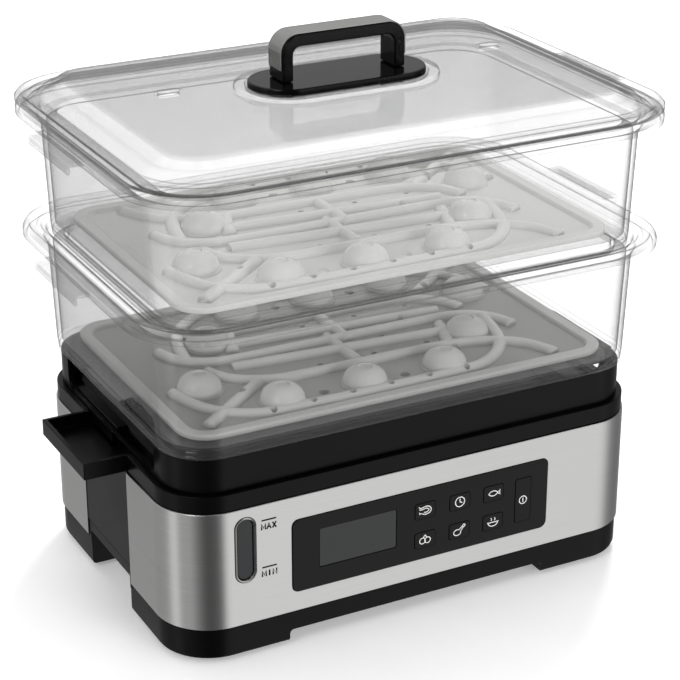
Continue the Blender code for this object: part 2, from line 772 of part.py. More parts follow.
def make_handle():
    """Lid handle: stadium base, black arch, steel cover strip and two screws."""
    seat = TRAY_SEAT + TIER_PITCH + TRAY_TOP + 12.4 * MM + 2 * GAP
    top = seat + 5.0 * MM
    w, d = HANDLE_SEAT_W, HANDLE_SEAT_D
    foot = round_rect(w, d, d / 2, 8)
    inner = round_rect(w - 2 * MM, d - 2 * MM, d / 2 - MM, 8)
    bm = bmesh.new()
    rings = [[(x, y, seat) for x, y in foot], [(x, y, top - 1 * MM) for x, y in foot]]
    rings.append([(x, y, top) for x, y in inner])
    skin(bm, rings, closed=False)
    base = emit("handle_base", bm, BLACK)
    half = HANDLE_HALF
    rise = HANDLE_TOP
    bend = HANDLE_BEND
    bar = HANDLE_BAR
    outer = arch_outline(half, rise, bend, top + GAP)
    hollow = arch_outline(half - bar, rise - bar, bend / 2, top + GAP)
    bm = bmesh.new()
    width = HANDLE_Y
    rings = [
        [(x, -width, z) for x, z in outer],
        [(x, width, z) for x, z in outer],
        [(x, width, z) for x, z in hollow],
        [(x, -width, z) for x, z in hollow],
    ]
    skin_open(bm, rings)
    arch = emit("handle_arch", bm, BLACK)
    over = STRIP_T + GAP
    strip_outer = arch_outline(half + over, rise + over, bend + STRIP_T, top + STRIP_FOOT)
    strip_inner = arch_outline(half + GAP, rise + GAP, bend, top + STRIP_FOOT)
    bm = bmesh.new()
    width = STRIP_Y
    rings = [
        [(x, -width, z) for x, z in strip_outer],
        [(x, width, z) for x, z in strip_outer],
        [(x, width, z) for x, z in strip_inner],
        [(x, -width, z) for x, z in strip_inner],
    ]
    skin_open(bm, rings)
    strip = emit("handle_strip", bm, STEEL)
    return base, arch, strip


def arch_outline(half, rise, bend, foot):
    """Return an open arch path in XZ from the right foot over the top to the left foot."""
    points = [(half, foot)]
    for sx, start in ((1, 0), (-1, 90)):
        for step in range(7):
            angle = math.radians(start + 90.0 * step / 6)
            x = sx * (half - bend) + bend * math.cos(angle)
            points.append((x, rise - bend + bend * math.sin(angle)))
    points.append((-half, foot))
    return points


def skin_open(bm, rings):
    """Close four open paths into a solid bar with two end faces."""
    loops = [[bm.verts.new(p) for p in ring] for ring in rings]
    count = len(loops[0])
    for k in range(4):
        a = loops[k]
        b = loops[(k + 1) % 4]
        for i in range(count - 1):
            bm.faces.new((a[i], a[i + 1], b[i + 1], b[i]))
    bm.faces.new([loop[0] for loop in loops])
    bm.faces.new([loop[-1] for loop in reversed(loops)])


def main() -> None:
    """Build the whole steamer."""
    clear_scene()
    make_base_pan()
    make_rubber_feet()
    make_base_screws()
    steel_ring("steel_front", True)
    steel_ring("steel_back", False)
    make_mains_gland()
    make_collar_lower()
    make_collar_upper()
    make_spout("spout_left", -1)
    make_spout("spout_right", 1)
    make_water_tank()
    make_heating()
    make_window()
    make_fascia()
    make_display()
    make_buttons()
    make_drip_tray()
    make_tray("lower_tray", TRAY_SEAT)
    make_plate("lower_plate", TRAY_SEAT)
    make_tray("upper_tray", TRAY_SEAT + TIER_PITCH)
    make_plate("upper_plate", TRAY_SEAT + TIER_PITCH)
    make_lid()
    make_handle()


if __name__ == "__main__":
    main()
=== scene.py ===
"""Studio picture of a two-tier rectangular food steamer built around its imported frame."""

import logging
import math
from dataclasses import dataclass, field
from enum import Enum
from typing import Callable, Iterable, Sequence

import bpy
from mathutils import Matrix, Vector


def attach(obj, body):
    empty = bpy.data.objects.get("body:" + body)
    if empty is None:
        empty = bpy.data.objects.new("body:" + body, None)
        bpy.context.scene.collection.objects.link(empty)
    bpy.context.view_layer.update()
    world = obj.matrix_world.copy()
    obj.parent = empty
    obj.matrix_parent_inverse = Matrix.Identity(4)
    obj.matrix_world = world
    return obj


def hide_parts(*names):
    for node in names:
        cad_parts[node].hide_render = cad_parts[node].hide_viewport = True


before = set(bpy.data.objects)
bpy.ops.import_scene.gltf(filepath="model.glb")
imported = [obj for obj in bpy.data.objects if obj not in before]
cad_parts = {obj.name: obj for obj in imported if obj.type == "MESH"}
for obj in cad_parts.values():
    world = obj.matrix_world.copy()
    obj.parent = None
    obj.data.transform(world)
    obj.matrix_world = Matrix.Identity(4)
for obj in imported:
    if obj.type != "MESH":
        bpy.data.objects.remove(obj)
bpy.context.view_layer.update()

MM = 0.001
LOG = logging.getLogger("steamer")

Point = tuple[float, float, float]
Pair = tuple[float, float]


# ------------------------------------------------------------------ helpers


def linear(code: str) -> tuple[float, float, float, float]:
    """Turn an sRGB hex colour into linear RGBA.

    Args:
        code: six hex digits, with or without a leading hash.

    Returns:
        Linear red, green and blue, and an alpha of 1.
    """
    digits = code.lstrip("#")
    values = [int(digits[i : i + 2], 16) / 255.0 for i in (0, 2, 4)]
    out = [v / 12.92 if v <= 0.04045 else ((v + 0.055) / 1.055) ** 2.4 for v in values]
    return out[0], out[1], out[2], 1.0


def add_node(
    tree: bpy.types.NodeTree,
    kind: str,
    settings: dict[str, object] | None = None,
    inputs: dict[str, object] | None = None,
) -> bpy.types.Node:
    """Add one shader node with its settings, values and incoming links.

    Args:
        tree: the material's node tree.
        kind: the node's type name.
        settings: attributes set on the node itself.
        inputs: socket values, or output sockets to link from.

    Returns:
        The new node.
    """
    node = tree.nodes.new(kind)
    for key, value in (settings or {}).items():
        setattr(node, key, value)
    for key, value in (inputs or {}).items():
        socket = node.inputs[int(key)] if key.isdigit() else node.inputs[key]
        if isinstance(value, bpy.types.NodeSocket):
            tree.links.new(value, socket)
        else:
            socket.default_value = value
    return node


def deselect() -> None:
    """Leave edit mode and clear the selection."""
    if bpy.context.mode != "OBJECT":
        bpy.ops.object.mode_set(mode="OBJECT")
    bpy.ops.object.select_all(action="DESELECT")


def activate(obj: bpy.types.Object) -> None:
    """Make one object the only selected and active one."""
    deselect()
    obj.select_set(True)
    bpy.context.view_layer.objects.active = obj


def apply_modifier(obj: bpy.types.Object, kind: str, **settings: object) -> None:
    """Add a modifier to an object and apply it.

    Args:
        obj: the object to change.
        kind: the modifier's type.
        **settings: the modifier's attributes.
    """
    step = obj.modifiers.new("step", kind)
    for key, value in settings.items():
        setattr(step, key, value)
    activate(obj)
    bpy.ops.object.modifier_apply(modifier=step.name)


def bake_place(obj: bpy.types.Object) -> None:
    """Move an object's place and scale into its mesh."""
    activate(obj)
    bpy.ops.object.transform_apply(location=True, rotation=True, scale=True)


def clean(obj: bpy.types.Object, angle: float = 34.0) -> bpy.types.Object:
    """Merge doubles, point the faces outwards and shade smooth below an angle.

    Args:
        obj: the mesh to finish.
        angle: the crease angle in degrees.

    Returns:
        The same object.
    """
    bake_place(obj)
    bpy.ops.object.mode_set(mode="EDIT")
    bpy.ops.mesh.select_all(action="SELECT")
    bpy.ops.mesh.remove_doubles(threshold=0.000002)
    bpy.ops.mesh.normals_make_consistent(inside=False)
    bpy.ops.object.mode_set(mode="OBJECT")
    bpy.ops.object.shade_smooth_by_angle(angle=math.radians(angle))
    apply_modifier(obj, "WEIGHTED_NORMAL", keep_sharp=True)
    return obj


def rename(obj: bpy.types.Object, name: str) -> bpy.types.Object:
    """Name an object and its data."""
    obj.name = name
    obj.data.name = name
    return obj


def cube(name: str, low: Point, high: Point, bevel: float = 0.0) -> bpy.types.Object:
    """Model a box between two corners with rounded edges.

    Args:
        name: the piece's name.
        low: lowest corner in metres.
        high: highest corner in metres.
        bevel: edge radius in metres.

    Returns:
        The box.
    """
    deselect()
    mid = [(a + b) / 2 for a, b in zip(low, high)]
    size = [b - a for a, b in zip(low, high)]
    bpy.ops.mesh.primitive_cube_add(size=1.0, location=mid, scale=size)
    obj = rename(bpy.context.active_object, name)
    bake_place(obj)
    if bevel:
        bpy.ops.object.mode_set(mode="EDIT")
        bpy.ops.mesh.select_all(action="SELECT")
        bpy.ops.mesh.bevel(offset=bevel, segments=3, affect="EDGES")
        bpy.ops.object.mode_set(mode="OBJECT")
    return obj


def cut(
    obj: bpy.types.Object, cutters: Iterable[bpy.types.Object], operation: str = "DIFFERENCE"
) -> bpy.types.Object:
    """Combine an object with others exactly, and remove the others.

    Args:
        obj: the object to keep.
        cutters: the objects to use up.
        operation: the Boolean operation.

    Returns:
        The changed object.
    """
    for other in cutters:
        apply_modifier(obj, "BOOLEAN", operation=operation, solver="EXACT", object=other)
        bpy.data.objects.remove(other, do_unlink=True)
    return obj


def merge(name: str, objs: Sequence[bpy.types.Object]) -> bpy.types.Object:
    """Join several meshes into one object."""
    deselect()
    for obj in objs:
        obj.select_set(True)
    bpy.context.view_layer.objects.active = objs[0]
    bpy.ops.object.join()
    return rename(objs[0], name)


def copied(obj: bpy.types.Object, name: str, shift: Point) -> bpy.types.Object:
    """Copy an object with its own mesh and move the copy."""
    other = obj.copy()
    other.data = obj.data.copy()
    bpy.context.scene.collection.objects.link(other)
    other.location = shift
    rename(other, name)
    bake_place(other)
    return other


def round_outline(
    width: float, depth: float, radius: float, steps: int = 12, centre: Pair = (0.0, 0.0)
) -> list[Pair]:
    """Return a rounded rectangle, counter-clockwise from its right side.

    Args:
        width: full size along the first axis.
        depth: full size along the second axis.
        radius: corner radius.
        steps: segments in each corner.
        centre: the middle of the rectangle.

    Returns:
        The outline's points.
    """
    radius = min(radius, width / 2 - 1e-6, depth / 2 - 1e-6)
    out = []
    for sx, sy, start in ((1, 1, 0), (-1, 1, 90), (-1, -1, 180), (1, -1, 270)):
        for i in range(steps + 1):
            a = math.radians(start + 90 * i / steps)
            x = centre[0] + sx * (width / 2 - radius) + radius * math.cos(a)
            y = centre[1] + sy * (depth / 2 - radius) + radius * math.sin(a)
            out.append((x, y))
    return out


def rounded_section(points: Sequence[Pair], radius: float, steps: int = 3) -> list[Pair]:
    """Round every corner of a closed section by up to the given radius.

    Args:
        points: the section's corners.
        radius: the largest fillet radius.
        steps: segments in each fillet.

    Returns:
        The rounded section.
    """
    out: list[Pair] = []
    count = len(points)
    for i, (x, y) in enumerate(points):
        here = Vector((x, y))
        back = Vector(points[i - 1]) - here
        ahead = Vector(points[(i + 1) % count]) - here
        reach = min(radius, back.length * 0.45, ahead.length * 0.45)
        start = here + back.normalized() * reach
        end = here + ahead.normalized() * reach
        for k in range(steps + 1):
            t = k / steps
            p = start * (1 - t) ** 2 + here * 2 * t * (1 - t) + end * t**2
            out.append((p.x, p.y))
    return out


def sweep(
    name: str,
    section: Sequence[Pair],
    width: float,
    depth: float,
    radius: float,
    closed: bool = True,
    steps: int = 12,
    centre: Pair = (0.0, 0.0),
    weld: Callable[[float], Point] | None = None,
) -> bpy.types.Object:
    """Carry a section of (inset, height) pairs round a rounded rectangle.

    A ring is extruded upwards once per section point, then each ring is set to its own
    inset, so the corners stay concentric.

    Args:
        name: the piece's name.
        section: (inset from the outline, height) pairs in metres.
        width: outline size along X.
        depth: outline size along Y.
        radius: outline corner radius.
        closed: join the last ring to the first; otherwise cap both ends.
        steps: segments in each corner.
        centre: the middle of the outline.
        weld: maps (x, y, z) to a new place, for pieces that don't lie flat.

    Returns:
        The new piece.
    """
    deselect()
    count = 4 * (steps + 1)
    bpy.ops.mesh.primitive_circle_add(vertices=count, radius=width / 2, fill_type="NOTHING")
    obj = rename(bpy.context.active_object, name)
    bpy.ops.object.mode_set(mode="EDIT")
    bpy.ops.mesh.select_all(action="SELECT")
    for _ in section[1:]:
        bpy.ops.mesh.extrude_region_move(TRANSFORM_OT_translate={"value": (0.0, 0.0, 0.001)})
    bpy.ops.object.mode_set(mode="OBJECT")
    vertices = obj.data.vertices
    for level, (inset, height) in enumerate(section):
        outline = round_outline(width - 2 * inset, depth - 2 * inset, max(radius - inset, 0.0004), steps, centre)
        for i, (x, y) in enumerate(outline):
            place = (x, y, height)
            vertices[level * count + i].co = weld(place) if weld else place
    bpy.ops.object.mode_set(mode="EDIT")
    bpy.ops.mesh.select_mode(type="EDGE")
    bpy.ops.mesh.select_all(action="DESELECT")
    bpy.ops.mesh.select_non_manifold()
    if closed:
        bpy.ops.mesh.bridge_edge_loops()
    else:
        bpy.ops.mesh.edge_face_add()
    bpy.ops.object.mode_set(mode="OBJECT")
    return clean(obj)


def upright(place: Point) -> Point:
    """Turn a flat piece to stand in the front plane: its Y becomes height and its Z becomes depth."""
    return place[0], place[2], place[1]


def plate_xz(
    name: str,
    outline: tuple[float, float, float, float, float],
    front: float,
    back: float,
    bevel: float = 0.0003,
    steps: int = 5,
) -> bpy.types.Object:
    """Model a rounded plate that stands in the front plane with eased front edges.

    Args:
        name: the piece's name.
        outline: centre x, centre z, width, height and corner radius.
        front: y of the front face.
        back: y of the back face.
        bevel: easing of the front edge.
        steps: segments in each corner.

    Returns:
        The plate.
    """
    x, z, width, height, radius = outline
    section = [(0.0, back), (0.0, front + bevel), (bevel * 0.3, front + bevel * 0.3), (bevel, front)]
    return sweep(name, section, width, height, radius, False, steps, (x, z), upright)


# ------------------------------------------------------------------ finishes


@dataclass(frozen=True)
class Finish:
    """A plain moulded or metal surface with fine roughness variation."""

    name: str
    colour: str
    roughness: float = 0.4
    metallic: float = 0.0
    grain_mm: float = 0.6
    bump: float = 0.04
    spread: float = 0.06
    ior: float = 1.5
    coat: float = 0.0
    gloss: float = 0.5

    def material(self) -> bpy.types.Material:
        """Return this finish as a node material, made once."""
        found = bpy.data.materials.get(self.name)
        if found:
            return found
        mat = bpy.data.materials.new(self.name)
        mat.use_nodes = True
        tree = mat.node_tree
        tree.nodes.clear()
        where = add_node(tree, "ShaderNodeTexCoord")
        shader = self.shader(tree, where.outputs["Object"])
        add_node(tree, "ShaderNodeOutputMaterial", inputs={"Surface": shader})
        mat.diffuse_color = linear(self.colour)
        return mat

    def shader(self, tree: bpy.types.NodeTree, place: bpy.types.NodeSocket) -> bpy.types.NodeSocket:
        """Build the shader nodes.

        Args:
            tree: the material's node tree.
            place: Object coordinates in metres.

        Returns:
            The shader socket for the output.
        """
        noise = add_node(
            tree, "ShaderNodeTexNoise", inputs={"Vector": place, "Scale": 1000.0 / self.grain_mm, "Detail": 3.0}
        )
        cloud = add_node(tree, "ShaderNodeTexNoise", inputs={"Vector": place, "Scale": 28.0, "Detail": 2.0})
        rough = add_node(
            tree,
            "ShaderNodeMapRange",
            inputs={
                "Value": cloud.outputs["Fac"],
                "To Min": max(self.roughness - self.spread, 0.01),
                "To Max": self.roughness + self.spread,
            },
        )
        bump = add_node(
            tree,
            "ShaderNodeBump",
            inputs={"Height": noise.outputs["Fac"], "Strength": self.bump, "Distance": 0.0002},
        )
        tint = add_node(
            tree,
            "ShaderNodeMix",
            {"data_type": "RGBA"},
            {
                "0": cloud.outputs["Fac"],
                "6": tuple(v * 0.93 for v in linear(self.colour)[:3]) + (1.0,),
                "7": linear(self.colour),
            },
        )
        body = add_node(
            tree,
            "ShaderNodeBsdfPrincipled",
            inputs={
                "Base Color": tint.outputs[2],
                "Roughness": rough.outputs["Result"],
                "Normal": bump.outputs["Normal"],
                "Metallic": self.metallic,
                "IOR": self.ior,
                "Coat Weight": self.coat,
                "Specular IOR Level": self.gloss,
            },
        )
        return body.outputs["BSDF"]


@dataclass(frozen=True)
class BrushedSteel(Finish):
    """Stainless sheet with fine scratches along its length, which stretch the highlights."""

    line_mm: float = 0.35

    def shader(self, tree: bpy.types.NodeTree, place: bpy.types.NodeSocket) -> bpy.types.NodeSocket:
        """Build long thin streaks that run round the band."""
        stretch = add_node(
            tree, "ShaderNodeMapping", inputs={"Vector": place, "Scale": (9.0, 9.0, 1000.0 / self.line_mm)}
        )
        streak = add_node(
            tree, "ShaderNodeTexNoise", inputs={"Vector": stretch.outputs["Vector"], "Scale": 1.0, "Detail": 4.0}
        )
        rough = add_node(
            tree,
            "ShaderNodeMapRange",
            inputs={"Value": streak.outputs["Fac"], "To Min": self.roughness - 0.08, "To Max": self.roughness + 0.1},
        )
        tone = add_node(
            tree,
            "ShaderNodeMix",
            {"data_type": "RGBA"},
            {
                "0": streak.outputs["Fac"],
                "6": tuple(v * 0.74 for v in linear(self.colour)[:3]) + (1.0,),
                "7": linear(self.colour),
            },
        )
        bump = add_node(
            tree,
            "ShaderNodeBump",
            inputs={"Height": streak.outputs["Fac"], "Strength": self.bump, "Distance": 0.0002},
        )
        along = add_node(tree, "ShaderNodeTangent", {"direction_type": "RADIAL", "axis": "Z"})
        body = add_node(
            tree,
            "ShaderNodeBsdfPrincipled",
            inputs={
                "Base Color": tone.outputs[2],
                "Roughness": rough.outputs["Result"],
                "Metallic": 1.0,
                "Anisotropic": 0.8,
                "Anisotropic Rotation": 0.25,
                "Tangent": along.outputs["Tangent"],
                "Normal": bump.outputs["Normal"],
            },
        )
        return body.outputs["BSDF"]


@dataclass(frozen=True)
class PaintedShadeSheet(Finish):
    """Translucent sheet moulding with painted shade: the thin field is painted darker, standing in for the dark
    below showing through it, and the raised ribs stay pale.
    """

    # The field colour is painted shade for the dark seen through the thin sheet.
    field_shade_colour: str = "9A9A98"
    level: float = 0.0
    reach: float = 4.0 * MM

    def shader(self, tree: bpy.types.NodeTree, place: bpy.types.NodeSocket) -> bpy.types.NodeSocket:
        """Build a glossy shader whose tone follows the height above the field: painted shade, darker on the low
        field and paler on the raised ribs.

        Args:
            tree: the material's node tree.
            place: Object coordinates in metres.

        Returns:
            The shader socket for the output.
        """
        parts = add_node(tree, "ShaderNodeSeparateXYZ", inputs={"Vector": place})
        rise = add_node(
            tree,
            "ShaderNodeMapRange",
            {"interpolation_type": "SMOOTHSTEP"},
            {"Value": parts.outputs["Z"], "From Min": self.level, "From Max": self.level + self.reach},
        )
        cloud = add_node(tree, "ShaderNodeTexNoise", inputs={"Vector": place, "Scale": 1000.0 / self.grain_mm})
        # Painted shade: the low field gets the darker field colour and the raised ribs the pale one.
        tone = add_node(
            tree,
            "ShaderNodeMix",
            {"data_type": "RGBA"},
            {"0": rise.outputs["Result"], "6": linear(self.field_shade_colour), "7": linear(self.colour)},
        )
        bump = add_node(
            tree,
            "ShaderNodeBump",
            inputs={"Height": cloud.outputs["Fac"], "Strength": self.bump, "Distance": 0.0003},
        )
        body = add_node(
            tree,
            "ShaderNodeBsdfPrincipled",
            inputs={
                "Base Color": tone.outputs[2],
                "Roughness": self.roughness,
                "Normal": bump.outputs["Normal"],
                "IOR": self.ior,
            },
        )
        return body.outputs["BSDF"]


@dataclass(frozen=True)
class ClearMoulding(Finish):
    """Clear polycarbonate: see-through face on, grey and mirror-like at glancing angles; the grey is painted shade
    for the dark lines refraction gives at glancing angles.
    """

    # The edge colour is painted shade, reached at glancing angles.
    edge: str = "5C5D5E"
    power: float = 5.0
    haze: float = 0.015

    def shader(self, tree: bpy.types.NodeTree, place: bpy.types.NodeSocket) -> bpy.types.NodeSocket:
        """Build the clear shader: a window tinted grey towards glancing angles as painted shade, a thin haze and a
        mirror skin.

        Args:
            tree: the material's node tree.
            place: Object coordinates in metres.

        Returns:
            The shader socket for the output.
        """
        wave = add_node(tree, "ShaderNodeTexNoise", inputs={"Vector": place, "Scale": 55.0, "Detail": 1.0})
        bump = add_node(
            tree, "ShaderNodeBump", inputs={"Height": wave.outputs["Fac"], "Strength": 0.05, "Distance": 0.002}
        )
        facing = add_node(tree, "ShaderNodeLayerWeight", inputs={"Blend": 0.5, "Normal": bump.outputs["Normal"]})
        depth = add_node(
            tree, "ShaderNodeMath", {"operation": "POWER"}, {"0": facing.outputs["Facing"], "1": self.power}
        )
        # Painted shade: the window turns to the edge grey as the surface turns away, standing in for refraction.
        tint = add_node(
            tree,
            "ShaderNodeMix",
            {"data_type": "RGBA"},
            {"0": depth.outputs["Value"], "6": linear(self.colour), "7": linear(self.edge)},
        )
        window = add_node(tree, "ShaderNodeBsdfTransparent", inputs={"Color": tint.outputs[2]})
        skin = add_node(
            tree,
            "ShaderNodeBsdfPrincipled",
            inputs={"Base Color": linear("F2F3F3"), "Roughness": self.roughness, "IOR": self.ior},
        )
        veil = add_node(
            tree, "ShaderNodeMixShader", inputs={"0": self.haze, "1": window.outputs[0], "2": skin.outputs[0]}
        )
        mirror = add_node(
            tree,
            "ShaderNodeBsdfGlossy",
            inputs={"Roughness": self.roughness, "Normal": bump.outputs["Normal"]},
        )
        graze = add_node(tree, "ShaderNodeMath", {"operation": "POWER"}, {"0": facing.outputs["Facing"], "1": 5.0})
        rim = add_node(
            tree, "ShaderNodeMath", {"operation": "MULTIPLY_ADD"}, {"0": graze.outputs["Value"], "1": 0.9, "2": 0.04}
        )
        whole = add_node(
            tree,
            "ShaderNodeMixShader",
            inputs={"0": rim.outputs["Value"], "1": veil.outputs[0], "2": mirror.outputs[0]},
        )
        return whole.outputs[0]


# Clear injection-moulded polycarbonate: bright edges, faint grey faces.
CLEAR = ClearMoulding("clear_polycarbonate_moulded", "FAFAFA", 0.04, ior=1.5)
# The lid is the same plastic in a thicker wall: a touch greyer face on.
LID_CLEAR = ClearMoulding("clear_polycarbonate_thick_moulded", "EFEFEF", 0.04, ior=1.5)
# Natural polypropylene, moulded: soft grey with a wide sheen.
SMOKE = Finish("grey_polypropylene_moulded", "DCDCDA", 0.2, grain_mm=6.0, bump=0.02, spread=0.05)
# The same plastic in thin sheet over the dark drip tray: grey field, pale ribs; a painted shaded copy of the
# plastic, its grey field painted shade for the dark tray below.
SHADED_LOW_SHEET = PaintedShadeSheet(
    "polypropylene_sheet_painted_shade",
    "D2D2D0",
    0.14,
    grain_mm=6.0,
    bump=0.02,
    field_shade_colour="989896",
    level=133.2 * MM,
)
# The same plastic over the clear tray below: a painted lit copy, paler for the light that comes through the clear
# tray.
LIT_HIGH_SHEET = PaintedShadeSheet(
    "polypropylene_sheet_painted_light",
    "F0F0EE",
    0.14,
    grain_mm=6.0,
    bump=0.02,
    field_shade_colour="E4E4E2",
    level=208.2 * MM,
)
# Satin black ABS: even moulded skin with a low sheen.
BLACK = Finish("black_abs_satin", "060606", 0.3, grain_mm=0.7, bump=0.06, gloss=0.14)
# Polished black ABS: sharp, dark reflections.
GLOSS = Finish("black_abs_polished", "070707", 0.13, grain_mm=4.0, bump=0.01, spread=0.03, gloss=0.2)
# Stainless steel, brushed along its length.
STEEL = BrushedSteel("stainless_steel_brushed", "DEDEDD", 0.34, bump=0.16)
# Stainless steel, pressed and polished.
BRIGHT = Finish("stainless_steel_polished", "B4B4B2", 0.2, 1.0, 2.0, 0.02, 0.04)
# Thermoplastic rubber, moulded: matt and nearly black.
RUBBER = Finish("black_rubber_moulded", "1A1A1A", 0.72, grain_mm=0.5, bump=0.2)
# Tinted acrylic over a dark display: smooth and grey.
SCREEN = Finish("grey_acrylic_tinted", "262728", 0.16, grain_mm=6.0, bump=0.01, spread=0.03, gloss=0.4)
# White screen-printing ink: flat and matt.
INK = Finish("white_ink_printed", "E4E4E2", 0.5, grain_mm=0.4, bump=0.03)
# Black screen-printing ink on the steel.
BLACK_INK = Finish("black_ink_printed", "0C0C0C", 0.8, grain_mm=0.4, bump=0.03, gloss=0.1)
# Smoked polycarbonate in the level window.
WINDOW = Finish("smoked_polycarbonate_moulded", "303132", 0.16, grain_mm=5.0, bump=0.01, spread=0.03, gloss=0.2)
# Red polypropylene float.
FLOAT = Finish("red_polypropylene_moulded", "A31515", 0.4)
# Non-stick coated pressing: dark and slightly speckled.
TANK = Finish("dark_polypropylene_moulded", "262728", 0.5, grain_mm=1.2, bump=0.1)
# Brass tube, drawn.
BRASS = Finish("brass_drawn", "B08D4A", 0.35, 1.0)
# Glass-epoxy laminate with solder resist.
BOARD = Finish("green_glass_epoxy_laminate", "1D5A32", 0.45, grain_mm=1.0, bump=0.1)
# Steatite ceramic, pressed and fired.
CERAMIC = Finish("steatite_fired", "CFC8B6", 0.6, grain_mm=0.8, bump=0.15)


class Tier(Enum):
    """The two stacked trays and how far each stands above the lowest."""

    LOWER = 0.0
    UPPER = 75.0 * MM


class Side(Enum):
    """The two ends of the steamer along X."""

    LEFT = -1
    RIGHT = 1


# ------------------------------------------------------------------ sub-assemblies


@dataclass
class Assembly:
    """A group of pieces that ride on one body of the frame."""

    body: str = "base"
    made: list[bpy.types.Object] = field(default_factory=list)

    def dress(
        self,
        obj: bpy.types.Object,
        finish: Finish,
        slot: str,
        *nodes: str,
        body: str | None = None,
    ) -> bpy.types.Object:
        """Give a piece its finish and its body, and hide the nodes it stands for.

        Args:
            obj: the finished piece.
            finish: its surface.
            slot: the record's material slot; not used.
            *nodes: CAD nodes that it replaces.
            body: the body it rides on, if not the assembly's own.

        Returns:
            The same piece.
        """
        obj.data.materials.clear()
        obj.data.materials.append(finish.material())
        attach(obj, body or self.body)
        if nodes:
            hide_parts(*nodes)
        self.made.append(obj)
        LOG.info("%s: %d faces", obj.name, len(obj.data.polygons))
        return obj


